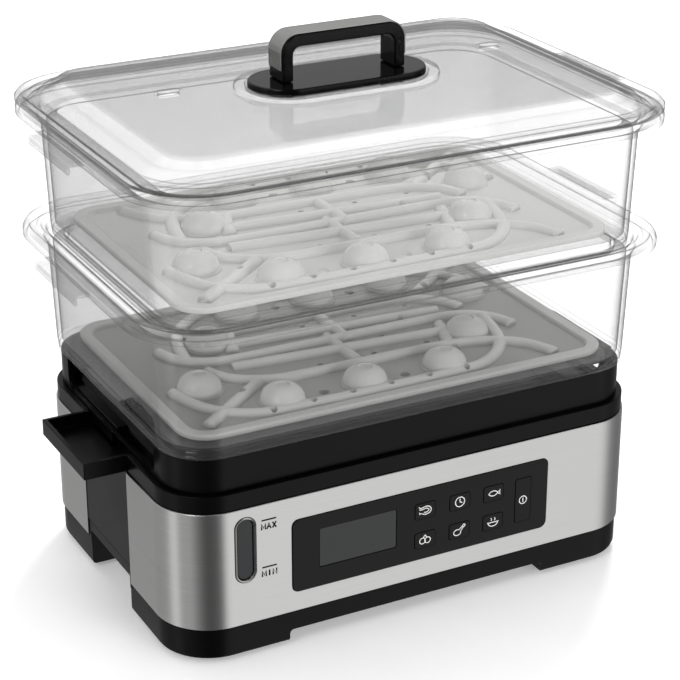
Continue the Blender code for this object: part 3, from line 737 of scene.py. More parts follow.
@dataclass
class Housing(Assembly):
    """Black foot pan, steel band, collar and scoops."""

    width: float = 307.0 * MM
    depth: float = 210.5 * MM
    radius: float = 33.0 * MM
    steel_low: float = 22.3 * MM
    steel_high: float = 95.2 * MM
    side_half: float = 33.5 * MM
    collar_top: float = 106.0 * MM
    rim_top: float = 126.6 * MM
    notch_half: float = 66.5 * MM

    def pan(self) -> None:
        """Model the foot pan with its arches."""
        section = [
            (20 * MM, 2.7 * MM),
            (3.0 * MM, 2.7 * MM),
            (1.7 * MM, 3.4 * MM),
            (1.0 * MM, 5.0 * MM),
            (1.0 * MM, 20.6 * MM),
            (1.4 * MM, 21.7 * MM),
            (6.0 * MM, 21.7 * MM),
            (18.0 * MM, 21.7 * MM),
            (18.0 * MM, 13.0 * MM),
        ]
        pan = sweep("foot_pan", section, self.width, self.depth, self.radius, False, 14)
        bridges = [
            cube("bridge", (-152.8 * MM, -33.4 * MM, 18 * MM), (-134 * MM, 33.4 * MM, 33.3 * MM), 0.6 * MM),
            cube("bridge", (134 * MM, -33.4 * MM, 18 * MM), (152.8 * MM, 33.4 * MM, 33.3 * MM), 0.6 * MM),
        ]
        cut(pan, bridges, "UNION")
        arches = [
            cube("arch", (-85 * MM, -0.2, -0.05), (85 * MM, 0.2, 10 * MM), 2.5 * MM),
            cube("arch", (-0.2, -31 * MM, -0.05), (0.2, 31 * MM, 10 * MM), 2.5 * MM),
            cube("arch", (-0.2, -31 * MM, -0.05), (-139 * MM, 31 * MM, 26.4 * MM), 1.5 * MM),
            cube("arch", (139 * MM, -31 * MM, -0.05), (0.2, 31 * MM, 26.4 * MM), 1.5 * MM),
        ]
        cut(pan, arches)
        self.dress(clean(pan), BLACK, "black_plastic", "base_pan")

    def pads(self) -> None:
        """Model the four rubber pads with a domed edge."""
        places = [(-122, -78), (122, -78), (-122, 78), (122, 78)]
        section = [(2.2 * MM, 0.0), (0.6 * MM, 0.3 * MM), (0.0, 1.0 * MM), (0.0, 2.4 * MM)]
        first = sweep("rubber_pad_1", section, 16 * MM, 16 * MM, 8 * MM, False, 7)
        for number, (x, y) in enumerate(places, 1):
            pad = copied(first, "foot_pad_%d" % number, (x * MM, y * MM, 0.0))
            self.dress(pad, RUBBER, "rubber", "rubber_foot_%d" % number)
        bpy.data.objects.remove(first, do_unlink=True)

    def band(self) -> None:
        """Model the two brushed steel shells with their cut-outs."""
        low, high = self.steel_low, self.steel_high
        section = [
            (0.0, low + 0.3 * MM),
            (0.0, high - 0.3 * MM),
            (0.3 * MM, high),
            (1.0 * MM, high),
            (1.0 * MM, low),
            (0.3 * MM, low),
        ]
        edge = self.side_half + 0.3 * MM
        front = sweep("steel_band_front", section, self.width, self.depth, self.radius, True, 24)
        back = copied(front, "steel_band_back", (0.0, 0.0, 0.0))
        cutters = [
            cube("gap", (-0.2, -edge, 0.0), (0.2, 0.2, 0.2)),
            plate_xz("hole", (0.9 * MM, 57.8 * MM, 170 * MM, 46.7 * MM, 4.5 * MM), -0.12, -0.09),
            plate_xz("hole", (-112.4 * MM, 69.6 * MM, 13.6 * MM, 41.6 * MM, 6.8 * MM), -0.12, -0.09, steps=10),
        ]
        self.dress(clean(cut(front, cutters)), STEEL, "steel", "steel_front")
        cut(back, [cube("gap", (-0.2, -0.2, 0.0), (0.2, edge, 0.2))])
        self.dress(clean(back), STEEL, "steel", "steel_back")

    def collar(self) -> None:
        """Model the lower band with its deck and sills."""
        low = self.steel_high + 0.3 * MM
        top = self.collar_top - 0.3 * MM
        section = rounded_section(
            [
                (1.0 * MM, low),
                (1.0 * MM, top),
                (10.0 * MM, top),
                (10.0 * MM, 103.6 * MM),
                (24.0 * MM, 103.6 * MM),
                (24.0 * MM, 100.6 * MM),
                (6.0 * MM, 100.6 * MM),
                (4.0 * MM, low),
            ],
            0.5 * MM,
        )
        band = sweep("collar_band", section, self.width, self.depth, self.radius, True, 20)
        sills = []
        for side in (-1, 1):
            x = sorted((side * 145.6 * MM, side * 138.6 * MM))
            sills.append(cube("sill", (x[0], -2.5 * MM, 102 * MM), (x[1], 62 * MM, 108.2 * MM), 0.5 * MM))
        cut(band, sills, "UNION")
        half = self.side_half + 0.3 * MM
        gaps = []
        for side in (-1, 1):
            x = sorted((side * 138.0 * MM, side * 160.0 * MM))
            gaps.append(cube("gap", (x[0], -half, 90 * MM), (x[1], -2.8 * MM, 120 * MM)))
            x = sorted((side * 149.2 * MM, side * 160.0 * MM))
            gaps.append(cube("gap", (x[0], -3.5 * MM, 90 * MM), (x[1], half, 120 * MM)))
            x = sorted((side * 126.0 * MM, side * 150.0 * MM))
            gaps.append(cube("gap", (x[0], -half, 90 * MM), (x[1], half, 100.4 * MM)))
        self.dress(clean(cut(band, gaps)), BLACK, "black_plastic", "collar_lower")

    def rim(self) -> None:
        """Model the upright rim and its two side notches."""
        low = self.collar_top
        section = rounded_section(
            [(4.5 * MM, low), (4.5 * MM, self.rim_top), (7.5 * MM, self.rim_top), (7.5 * MM, low)], 0.7 * MM
        )
        rim = sweep("collar_rim", section, self.width, self.depth, self.radius, True, 20)
        notches = []
        for side in (-1, 1):
            x = sorted((side * 135 * MM, side * 160 * MM))
            notch = cube("notch", (x[0], -self.notch_half, low + 0.6 * MM), (x[1], self.notch_half, 0.2))
            activate(notch)
            bpy.ops.object.mode_set(mode="EDIT")
            bpy.ops.mesh.select_mode(type="EDGE")
            bpy.ops.mesh.select_all(action="DESELECT")
            bpy.ops.object.mode_set(mode="OBJECT")
            for e in notch.data.edges:
                a, b = (notch.data.vertices[i].co for i in e.vertices)
                e.select = abs(a.y - b.y) < 1e-6 and a.z < 0.15 and b.z < 0.15
            bpy.ops.object.mode_set(mode="EDIT")
            bpy.ops.mesh.bevel(offset=9 * MM, segments=8, affect="EDGES")
            bpy.ops.object.mode_set(mode="OBJECT")
            notches.append(notch)
        self.dress(clean(cut(rim, notches)), BLACK, "black_plastic", "collar_upper")

    def scoop(self, side: Side) -> None:
        """Model one water scoop with the panel below it.

        Args:
            side: the end of the steamer it stands on.
        """
        s = side.value
        half = self.side_half
        top = self.collar_top - 0.3 * MM

        def span(a: float, b: float) -> list[float]:
            """Return two X values in rising order."""
            return sorted((s * a * MM, s * b * MM))

        x = span(149.6, 178.5)
        body = cube("scoop", (x[0], -half, 95.6 * MM), (x[1], half, top), 0.5 * MM)
        x = span(150.2, 153.2)
        panel = cube("panel", (x[0], -half, 33.7 * MM), (x[1], half, 96.6 * MM), 0.4 * MM)
        x = span(128.0, 151.0)
        chute = cube("chute", (x[0], -half + MM, 95.6 * MM), (x[1], -5 * MM, 100 * MM), 0.2 * MM)
        cut(body, [panel, chute], "UNION")
        x = span(146.0, 176.1)
        hollow = cube("hollow", (x[0], -half + 2.4 * MM, 97.8 * MM), (x[1], half - 2.4 * MM, 0.12), 0.6 * MM)
        x = span(120.0, 147.0)
        channel = cube("channel", (x[0], -half + 2.4 * MM, 97.8 * MM), (x[1], -7 * MM, 0.12))
        cut(body, [hollow, channel])
        name = side.name.lower()
        rename(clean(body), "water_scoop_" + name)
        self.dress(body, BLACK, "black_plastic", "spout_" + name)

    def gland(self) -> None:
        """Model the ribbed gland at the back."""
        back = self.depth / 2 + 0.3 * MM
        section = [
            (3.4 * MM, back),
            (0.0, back),
            (0.0, back + 2.0 * MM),
            (1.2 * MM, back + 2.6 * MM),
            (1.4 * MM, back + 5.0 * MM),
            (2.0 * MM, back + 5.7 * MM),
            (3.4 * MM, back + 5.7 * MM),
        ]
        ring = sweep("mains_gland", section, 14 * MM, 14 * MM, 7 * MM, True, 7, (96 * MM, 45 * MM), upright)
        self.dress(ring, BLACK, "black_plastic", "cord_gland")

    def build(self) -> None:
        """Build every piece of the housing."""
        self.pan()
        self.pads()
        self.band()
        self.collar()
        self.rim()
        self.scoop(Side.LEFT)
        self.scoop(Side.RIGHT)
        self.gland()


@dataclass
class Pictogram:
    """Small white line drawings for the keys, in millimetres about the key's centre."""

    line: float = 0.33 * MM
    front: float = -106.16 * MM

    def stroke(self, points: Sequence[Pair], centre: Pair, closed: bool = False) -> bpy.types.Object:
        """Draw one line as a thin raised bar of ink.

        Args:
            points: the line's points in millimetres.
            centre: the key's centre in metres.
            closed: join the ends.

        Returns:
            The stroke as a mesh.
        """
        data = bpy.data.curves.new("stroke", "CURVE")
        data.dimensions = "3D"
        data.bevel_depth = self.line
        data.bevel_resolution = 1
        data.use_fill_caps = True
        spline = data.splines.new("POLY")
        spline.points.add(len(points) - 1)
        for p, (x, z) in zip(spline.points, points):
            p.co = (centre[0] + x * MM, self.front, centre[1] + z * MM, 1.0)
        spline.use_cyclic_u = closed
        obj = bpy.data.objects.new("stroke", data)
        bpy.context.scene.collection.objects.link(obj)
        activate(obj)
        bpy.ops.object.convert(target="MESH")
        mesh = bpy.context.active_object
        for v in mesh.data.vertices:
            v.co.y = self.front + (v.co.y - self.front) * 0.25
        return mesh

    def arc(
        self, x: float, z: float, rx: float, rz: float, start: float, end: float, steps: int = 14
    ) -> list[Pair]:
        """Return points on an ellipse between two angles in degrees."""
        out = []
        for i in range(steps + 1):
            a = math.radians(start + (end - start) * i / steps)
            out.append((x + rx * math.cos(a), z + rz * math.sin(a)))
        return out

    def lines(self, name: str) -> list[tuple[list[Pair], bool]]:
        """Return the strokes of one named pictogram."""
        if name == "fish":
            return [
                (self.arc(-0.4, -1.4, 3.4, 3.0, 25, 155), False),
                (self.arc(-0.4, 1.4, 3.4, 3.0, 205, 335), False),
                ([(2.5, 0.1), (4.3, 1.5), (4.0, 0.0), (4.3, -1.5), (2.5, -0.1)], False),
            ]
        if name == "timer":
            return [
                (self.arc(0, 0, 3.1, 3.1, 0, 342, 20), True),
                ([(0.0, 2.0), (0.0, 0.0), (1.5, -0.8)], False),
            ]
        if name == "seafood":
            return [
                (self.arc(0.4, 0.2, 3.4, 2.6, -130, 110, 16), False),
                (self.arc(0.3, 0.2, 1.9, 1.3, -130, 110, 14), False),
                ([(-1.8, -1.8), (-4.2, -0.6), (-3.6, -2.0)], False),
                ([(-0.8, 2.6), (-3.2, 2.0), (-4.4, 3.0)], False),
                ([(-0.4, 1.4), (-2.8, 1.0), (-4.2, 1.4)], False),
            ]
        if name == "vegetable":
            return [
                (self.arc(-1.7, -0.6, 1.9, 1.9, 0, 330, 14), True),
                (self.arc(1.7, -0.6, 1.9, 1.9, 0, 330, 14), True),
                ([(0.0, 3.0), (-1.4, 1.2)], False),
                ([(0.0, 3.0), (1.4, 1.2)], False),
            ]
        if name == "meat":
            return [
                (self.arc(-1.4, -1.0, 2.4, 1.9, 60, 375, 18), False),
                ([(-0.2, 0.7), (2.2, 2.8)], False),
                ([(0.9, -0.4), (2.8, 2.0)], False),
                (self.arc(3.0, 2.8, 0.8, 0.8, 0, 330, 10), True),
            ]
        if name == "keep_warm":
            return [
                (self.arc(0, -0.2, 3.3, 2.6, 180, 360), False),
                ([(-3.9, -0.2), (3.9, -0.2)], False),
                ([(-1.3, 0.8), (-0.9, 1.8), (-1.5, 2.8)], False),
                ([(1.1, 0.8), (1.5, 1.8), (0.9, 2.8)], False),
            ]
        return [
            (self.arc(0, 0, 2.5, 2.5, 0, 342, 20), True),
            ([(0.0, 1.3), (0.0, -1.3)], False),
        ]

    def draw(self, name: str, centre: Pair) -> bpy.types.Object:
        """Draw one pictogram.

        Args:
            name: which drawing.
            centre: the key's centre as (x, z) in metres.

        Returns:
            The drawing as one mesh.
        """
        parts = [self.stroke(points, centre, closed) for points, closed in self.lines(name)]
        return merge("print_" + name, parts)


@dataclass
class ControlPanel(Assembly):
    """Glossy fascia, display, keys with their printing, and the level window."""

    front: float = -105.25 * MM
    panel: tuple[float, float, float, float, float] = (0.9 * MM, 57.8 * MM, 169.4 * MM, 46.1 * MM, 4.2 * MM)
    display: tuple[float, float, float, float, float] = (-41.9 * MM, 59.4 * MM, 50.0 * MM, 24.9 * MM, 1.2 * MM)
    columns: tuple[float, float, float] = (1.8 * MM, 24.9 * MM, 47.9 * MM)
    rows: tuple[float, float] = (66.5 * MM, 47.5 * MM)
    window: tuple[float, float, float, float, float] = (-112.4 * MM, 69.6 * MM, 13.0 * MM, 41.0 * MM, 6.5 * MM)

    def keys(self) -> list[tuple[str, float, float, float, float]]:
        """Return each key's name, centre, width and height."""
        out = []
        names = (("seafood", "timer", "fish"), ("vegetable", "meat", "keep_warm"))
        for z, row in zip(self.rows, names):
            for x, name in zip(self.columns, row):
                out.append((name, x, z, 14.2 * MM, 10.7 * MM))
        out.append(("power", 68.4 * MM, 57.2 * MM, 11.4 * MM, 29.2 * MM))
        return out

    def fascia(self) -> None:
        """Model the panel and cut its openings."""
        panel = plate_xz("gloss_fascia", self.panel, self.front - 0.6 * MM, self.front + 2.4 * MM, 0.5 * MM, 8)
        holes = [
            plate_xz("hole", (x, z, w, h, 1.8 * MM), -0.12, -0.09, steps=4) for _, x, z, w, h in self.keys()
        ]
        holes.append(plate_xz("hole", self.display, -0.12, -0.09, steps=4))
        self.dress(clean(cut(panel, holes), 30.0), GLOSS, "gloss_black", "fascia")

    def screen(self) -> None:
        """Model the tinted display window."""
        x, z, w, h, r = self.display
        pane = (x, z, w - 0.6 * MM, h - 0.6 * MM, r)
        obj = plate_xz("display_pane", pane, self.front - 0.35 * MM, self.front + 1.1 * MM, 0.25 * MM, 4)
        self.dress(obj, SCREEN, "gloss_black", "display_window")

    def buttons(self) -> None:
        """Model each key and print its drawing."""
        ink = Pictogram()
        for name, x, z, w, h in self.keys():
            outline = (x, z, w - 0.6 * MM, h - 0.6 * MM, 1.6 * MM)
            cap = plate_xz("key_cap_" + name, outline, self.front - 0.88 * MM, self.front + 1.4 * MM, 0.35 * MM, 5)
            self.dress(cap, GLOSS, "gloss_black", "button_" + name, body="key_" + name)
            drawing = ink.draw(name, (x, z))
            self.dress(clean(drawing), INK, "gloss_black", body="key_" + name)

    def level(self) -> None:
        """Model the water-level bezel, window and printed marks."""
        x, z, w, h, r = self.window
        front = self.front
        section = [
            (1.5 * MM, front + 1.8 * MM),
            (1.5 * MM, front + 0.4 * MM),
            (1.1 * MM, front - 0.3 * MM),
            (0.5 * MM, front - 0.5 * MM),
            (0.1 * MM, front - 0.2 * MM),
            (0.0, front + 0.3 * MM),
            (0.0, front + 1.8 * MM),
        ]
        ring = sweep("level_bezel", section, w, h, r, True, 12, (x, z), upright)
        self.dress(ring, BRIGHT, "steel", "window_bezel")
        pane = (x, z, w - 3.6 * MM, h - 3.6 * MM, (w - 3.6 * MM) / 2)
        glass = plate_xz("level_pane", pane, front + 0.9 * MM, front + 2.0 * MM, 0.3 * MM, 10)
        self.dress(glass, WINDOW, "clear_plastic", "level_window")
        marks = []
        for height, words in ((63.5 + 22.0, "MAX"), (33.8 + 22.0, "MIN")):
            marks.append(
                cube(
                    "mark",
                    (-102.4 * MM, front - 0.06 * MM, (height - 0.45) * MM),
                    (-93.4 * MM, front + 0.02 * MM, (height + 0.45) * MM),
                )
            )
            marks.append(self.word(words, (-97.9 * MM, (height - 4.0) * MM)))
        self.dress(clean(merge("level_marks", marks)), BLACK_INK, "black_plastic")

    def word(self, words: str, centre: Pair) -> bpy.types.Object:
        """Print a generic level word from straight strokes.

        Args:
            words: the letters.
            centre: its centre as (x, z) in metres.

        Returns:
            The printed word as a mesh.
        """
        shapes = {
            "M": [[(-1.2, -1.8), (-1.2, 1.8), (0.0, -0.9), (1.2, 1.8), (1.2, -1.8)]],
            "A": [[(-1.2, -1.8), (0.0, 1.8), (1.2, -1.8)], [(-0.8, -0.5), (0.8, -0.5)]],
            "X": [[(-1.1, -1.8), (1.1, 1.8)], [(-1.1, 1.8), (1.1, -1.8)]],
            "I": [[(0.0, -1.8), (0.0, 1.8)]],
            "N": [[(-1.1, -1.8), (-1.1, 1.8), (1.1, -1.8), (1.1, 1.8)]],
        }
        pen = Pictogram(line=0.5 * MM, front=self.front - 0.03 * MM)
        letters = []
        for place, letter in enumerate(words):
            x = centre[0] + (place - (len(words) - 1) / 2) * 3.3 * MM
            letters += [pen.stroke(line, (x, centre[1])) for line in shapes[letter]]
        return merge("word", letters)

    def build(self) -> None:
        """Build the whole panel."""
        self.fascia()
        self.screen()
        self.buttons()
        self.level()


@dataclass
class Tray(Assembly):
    """One clear tray with a beaded flange and two finger tabs."""

    tier: Tier = Tier.LOWER
    width: float = 334.6 * MM
    depth: float = 239.2 * MM
    radius: float = 46.8 * MM
    seat: float = 126.9 * MM

    def section(self) -> list[Pair]:
        """Return the tray's section as (inset, height) pairs."""
        z = self.seat + self.tier.value
        pairs = [
            (18.3, 0.0),
            (17.2, 0.5),
            (17.2, 1.7),
            (18.1, 2.3),
            (18.1, 3.1),
            (16.7, 3.7),
            (16.7, 4.9),
            (17.5, 5.6),
            (16.6, 6.6),
            (14.4, 68.0),
            (12.0, 73.6),
            (3.0, 76.4),
            (2.0, 74.7),
            (0.0, 74.7),
            (0.0, 79.2),
            (1.6, 81.7),
            (3.8, 81.7),
            (5.0, 79.9),
            (8.0, 79.6),
            (8.8, 80.4),
            (10.6, 80.4),
            (11.6, 79.0),
            (13.4, 78.8),
            (15.2, 74.7),
            (24.0, 74.7),
            (24.0, 72.4),
            (17.2, 69.6),
            (19.4, 6.6),
            (22.0, 5.6),
            (33.6, 5.4),
            (33.6, 3.4),
            (26.4, 2.0),
            (26.4, -4.6),
            (24.4, -4.6),
            (24.4, 0.0),
        ]
        return rounded_section([(a * MM, z + b * MM) for a, b in pairs], 0.9 * MM, 3)

    def build(self) -> None:
        """Build the tray and its tabs."""
        name = self.tier.name.lower()
        z = self.seat + self.tier.value
        tray = sweep(name + "_clear_tray", self.section(), self.width, self.depth, self.radius, True, 18)
        tabs = []
        for side in Side:
            s = side.value
            x = sorted((s * 166.6 * MM, s * 178.0 * MM))
            tabs.append(cube("tab", (x[0], -32 * MM, z + 78.4 * MM), (x[1], 32 * MM, z + 80.2 * MM), 0.6 * MM))
            x = sorted((s * 176.2 * MM, s * 178.0 * MM))
            tabs.append(cube("lip", (x[0], -32 * MM, z + 74.4 * MM), (x[1], 32 * MM, z + 79.8 * MM), 0.6 * MM))
        cut(tray, tabs, "UNION")
        self.dress(clean(tray), CLEAR, "clear_plastic", name + "_tray")


@dataclass
class EggPlate(Assembly):
    """Perforated grey plate with tube-like ribs and egg-holder domes."""

    width: float = 275.0 * MM
    depth: float = 179.5 * MM
    radius: float = 18.5 * MM
    seat: float = 126.9 * MM
    dome: float = 13.5 * MM
    row_x: float = -15.0
    row_y: float = -63.0
    row_pitch: float = 53.0
    end_reach: float = 89.0
    end_y: float = -28.0
    rib_pitch: float = 38.0
    rise: float = 11.0 * MM

    def domes(self) -> list[Pair]:
        """Return the front group of five egg-holder centres in mm, from left to right."""
        row = [(self.row_x + self.row_pitch * k, self.row_y) for k in (-1, 0, 1)]
        return [(self.row_x - self.end_reach, self.end_y), *row, (self.row_x + self.end_reach, self.end_y)]

    def whole(self, front: Sequence[Pair]) -> list[Pair]:
        """Return the points and the same points turned half round, in metres.

        Args:
            front: points of the front half in mm.

        Returns:
            Both halves' points in metres.
        """
        return [(side * x * MM, side * y * MM) for side in (1, -1) for x, y in front]

    def bow(self, y: float, run: Pair, left: Pair, right: Pair) -> list[Pair]:
        """Return a straight rib run whose two ends sweep away as quarter ellipses.

        Args:
            y: where the run lies, in mm.
            run: the x where the run starts and ends, in mm.
            left: how far the left end travels in x and y, in mm.
            right: how far the right end travels in x and y, in mm.

        Returns:
            The line's points in mm, from left to right.
        """
        turns = [math.radians(22.5 * k) for k in range(5)]
        first = [(run[0] - left[0] * math.cos(t), y + left[1] * (1 - math.sin(t))) for t in turns]
        last = [(run[1] + right[0] * math.sin(t), y + right[1] * (1 - math.cos(t))) for t in turns]
        return [*first, *last]

    def ribs(self) -> list[list[Pair]]:
        """Return the rib lines of the front half and the same turned half round."""
        half = [
            self.bow(-2 * self.rib_pitch, (-75, 45), (45, 50), (50, 65)),
            self.bow(-self.rib_pitch, (-45, 45), (45, 30), (60, -40)),
            [(-120, -75), (-70, -35)],
            [(-75, -10), (60, -20)],
            [(-5, 5), (-5, -35)],
            [(65, -10), (55, -40)],
        ]
        middle = self.bow(0, (-70, 70), (35, 30), (35, -30))
        turned = [[(-x, -y) for x, y in line] for line in half]
        return [[(x * MM, y * MM) for x, y in line] for line in [*half, *turned, middle]]

    def rib(self, line: Sequence[Pair], low: float) -> bpy.types.Object:
        """Model one half-round rib along a smooth line.

        Args:
            line: its points in the plate's plane.
            low: height of the plate's field.

        Returns:
            The rib as a closed tube sunk to its middle.
        """
        data = bpy.data.curves.new("rib", "CURVE")
        data.dimensions = "3D"
        data.bevel_depth = 4.3 * MM
        data.bevel_resolution = 4
        data.use_fill_caps = True
        data.resolution_u = 8
        spline = data.splines.new("NURBS")
        spline.points.add(len(line) - 1)
        for p, (x, y) in zip(spline.points, line):
            p.co = (x, y, low - 0.2 * MM, 1.0)
        spline.order_u = min(3, len(line))
        spline.use_endpoint_u = True
        obj = bpy.data.objects.new("rib", data)
        bpy.context.scene.collection.objects.link(obj)
        activate(obj)
        bpy.ops.object.convert(target="MESH")
        return bpy.context.active_object

    def holder(self, centre: Pair, low: float) -> bpy.types.Object:
        """Model one egg-holder dome with a ring dimple on top.

        Args:
            centre: its centre in the plate's plane.
            low: height of the plate's field.

        Returns:
            The dome.
        """
        d = 2 * self.dome
        section = [
            (-1.2 * MM, low - 0.6 * MM),
            (-1.2 * MM, low + 0.4 * MM),
            (0.0, low + 1.2 * MM),
            (0.7 * MM, low + 4.4 * MM),
            (2.6 * MM, low + 7.6 * MM),
            (5.6 * MM, low + 9.9 * MM),
            (8.6 * MM, low + 10.9 * MM),
            (9.4 * MM, low + 10.9 * MM),
            (9.9 * MM, low + 10.2 * MM),
            (11.4 * MM, low + 10.2 * MM),
            (12.0 * MM, low + 10.6 * MM),
        ]
        return sweep("holder", section, d, d, self.dome, False, 9, centre)

    def holes(self) -> list[tuple[float, float, float]]:
        """Return the drain holes as x, y and radius in metres: between seats, along a rib, in rows."""
        seats = self.domes()
        between = [((a[0] + b[0]) / 2, (a[1] + b[1]) / 2) for a, b in zip(seats, seats[1:])]
        along = [(-80 + 25 * k, -2 * self.rib_pitch) for k in range(6)]
        rows = [(-62 + 36 * k, -28) for k in range(4)] + [(-48 + 37 * k, -8) for k in range(3)]
        groups = ((between, 3.1), (along, 2.3), (rows, 2.0))
        return [(x, y, r * MM) for places, r in groups for x, y in self.whole(places)]

    def build(self) -> None:
        """Build the lower plate and copy it for the upper tray."""
        low = self.seat + 5.8 * MM
        field_z = low + 0.8 * MM
        section = [
            (8.0 * MM, low - 1.4 * MM),
            (7.0 * MM, low),
            (0.4 * MM, low),
            (0.0, low + 0.5 * MM),
            (0.0, low + 2.6 * MM),
            (0.8 * MM, low + 3.3 * MM),
            (6.4 * MM, low + 3.3 * MM),
            (7.4 * MM, low + 2.8 * MM),
            (8.6 * MM, field_z + 0.4 * MM),
            (9.4 * MM, field_z),
        ]
        plate = sweep("lower_egg_plate", section, self.width, self.depth, self.radius, False, 10)
        cut(plate, [self.rib(line, field_z) for line in self.ribs()], "UNION")
        cut(plate, [self.holder(c, field_z) for c in self.whole(self.domes())], "UNION")
        drills = []
        for x, y, r in self.holes():
            deselect()
            bpy.ops.mesh.primitive_cylinder_add(
                vertices=12, radius=r, depth=24 * MM, location=(x, y, low + 2 * MM)
            )
            drills.append(bpy.context.active_object)
        cut(plate, [merge("drills", drills)])
        clean(plate)
        upper = copied(plate, "upper_egg_plate", (0.0, 0.0, Tier.UPPER.value))
        self.dress(plate, SHADED_LOW_SHEET, "smoke_plastic", "lower_plate", body="lower_plate")
        self.dress(upper, LIT_HIGH_SHEET, "smoke_plastic", "upper_plate", body="upper_plate")


@dataclass
class Lid(Assembly):
    """Clear lid with a beaded rim, and its arch handle."""

    body: str = "lid"
    width: float = 334.6 * MM
    depth: float = 239.2 * MM
    radius: float = 46.8 * MM
    seat: float = 283.9 * MM

    def cover(self) -> None:
        """Model the clear cover with two vents."""
        outer = [
            (6.0, -2.0),
            (4.8, 0.0),
            (0.8, 0.0),
            (0.0, 0.8),
            (0.0, 2.6),
            (1.0, 3.8),
            (3.4, 4.2),
            (5.0, 3.4),
            (6.4, 2.6),
            (8.2, 2.9),
            (9.6, 3.6),
            (11.4, 3.4),
            (13.0, 3.3),
            (16.6, 6.6),
            (18.0, 7.2),
            (21.0, 7.6),
            (25.0, 11.2),
            (26.6, 12.1),
            (30.0, 12.4),
        ]
        inner = [
            (31.0, 10.3),
            (27.4, 10.0),
            (22.0, 5.5),
            (18.4, 5.0),
            (14.0, 1.2),
            (8.4, 0.7),
        ]
        pairs = inner + outer
        section = [(a * MM, self.seat + b * MM) for a, b in pairs]
        lid = sweep("clear_lid", section, self.width, self.depth, self.radius, False, 18)
        level = self.seat + 12.4 * MM
        ring = rounded_section(
            [
                (0.0, level - 1.0 * MM),
                (0.6 * MM, level + 3.0 * MM),
                (6.6 * MM, level + 3.0 * MM),
                (7.0 * MM, level - 1.0 * MM),
            ],
            0.7 * MM,
        )
        cut(lid, [sweep("seat_ring", ring, 126 * MM, 66 * MM, 33 * MM, True, 14)], "UNION")
        vents = []
        lips = []
        lip = [
            (0.0, level - 1.0 * MM),
            (0.3 * MM, level + 0.6 * MM),
            (0.7 * MM, level + 0.9 * MM),
            (1.6 * MM, level + 0.9 * MM),
        ]
        for x in (-96 * MM, 115 * MM):
            vent = [(0.0, self.seat), (0.0, self.seat + 20 * MM)]
            vents.append(sweep("vent", vent, 13 * MM, 6.5 * MM, 3.25 * MM, False, 7, (x, 22 * MM)))
            lips.append(sweep("lip", lip, 16.6 * MM, 10.1 * MM, 5.0 * MM, False, 7, (x, 22 * MM)))
        cut(lid, lips, "UNION")
        cut(lid, vents)
        self.dress(clean(lid), LID_CLEAR, "clear_plastic", "lid")

    def handle(self) -> None:
        """Model the stadium base, the arch and its steel cover."""
        foot = self.seat + 12.4 * MM + 0.3 * MM
        top = foot + 4.9 * MM
        section = [
            (1.0 * MM, foot),
            (0.0, foot + 0.8 * MM),
            (0.0, top - 1.4 * MM),
            (0.5 * MM, top - 0.4 * MM),
            (1.6 * MM, top),
        ]
        base = sweep("handle_seat", section, 110 * MM, 46 * MM, 23 * MM, False, 14)
        self.dress(base, GLOSS, "black_plastic", "handle_base")
        arch = self.arch("handle_bar", 39.1, 328.2, 10.5, 6.6, top / MM + 0.3, 9.0)
        self.dress(arch, GLOSS, "gloss_black", "handle_arch")
        strip = self.arch("handle_cover", 40.2, 329.3, 11.3, 0.8, top / MM + 7.1, 7.6)
        self.dress(strip, BRIGHT, "steel", "handle_strip")

    def arch(
        self, name: str, half: float, rise: float, bend: float, bar: float, foot: float, width: float
    ) -> bpy.types.Object:
        """Model an arch: a flat bar carried up, over and down.

        Args:
            name: the piece's name.
            half: half its span in millimetres.
            rise: height of its top.
            bend: outer corner radius.
            bar: thickness.
            foot: height of its feet.
            width: half its width.

        Returns:
            The arch.
        """

        def path(inset: float) -> list[Pair]:
            """Return the arch's line, moved inwards."""
            r = max(bend - inset, bend * 0.48 if inset > 2 else 1.0)
            out = [(half - inset, foot)]
            for sx, start in ((1, 0), (-1, 90)):
                for i in range(13):
                    a = math.radians(start + 90 * i / 12)
                    x = sx * (half - inset - r) + r * math.cos(a)
                    out.append((x, rise - inset - r + r * math.sin(a)))
            out.append((-(half - inset), foot))
            return out

        deselect()
        outline = path(0.0) + list(reversed(path(bar)))
        count = len(outline)
        bpy.ops.mesh.primitive_circle_add(vertices=count, radius=0.02, fill_type="NGON")
        obj = rename(bpy.context.active_object, name)
        for v, (x, z) in zip(obj.data.vertices, outline):
            v.co = (x * MM, -width * MM, z * MM)
        bpy.ops.object.mode_set(mode="EDIT")
        bpy.ops.mesh.select_all(action="SELECT")
        bpy.ops.mesh.extrude_region_move(TRANSFORM_OT_translate={"value": (0.0, 2 * width * MM, 0.0)})
        bpy.ops.object.mode_set(mode="OBJECT")
        clean(obj)
        edge = min(0.9 * MM, bar * 0.25 * MM)
        apply_modifier(obj, "BEVEL", width=edge, segments=3, limit_method="ANGLE", angle_limit=math.radians(50))
        return clean(obj)

    def build(self) -> None:
        """Build the cover and the handle."""
        self.cover()
        self.handle()


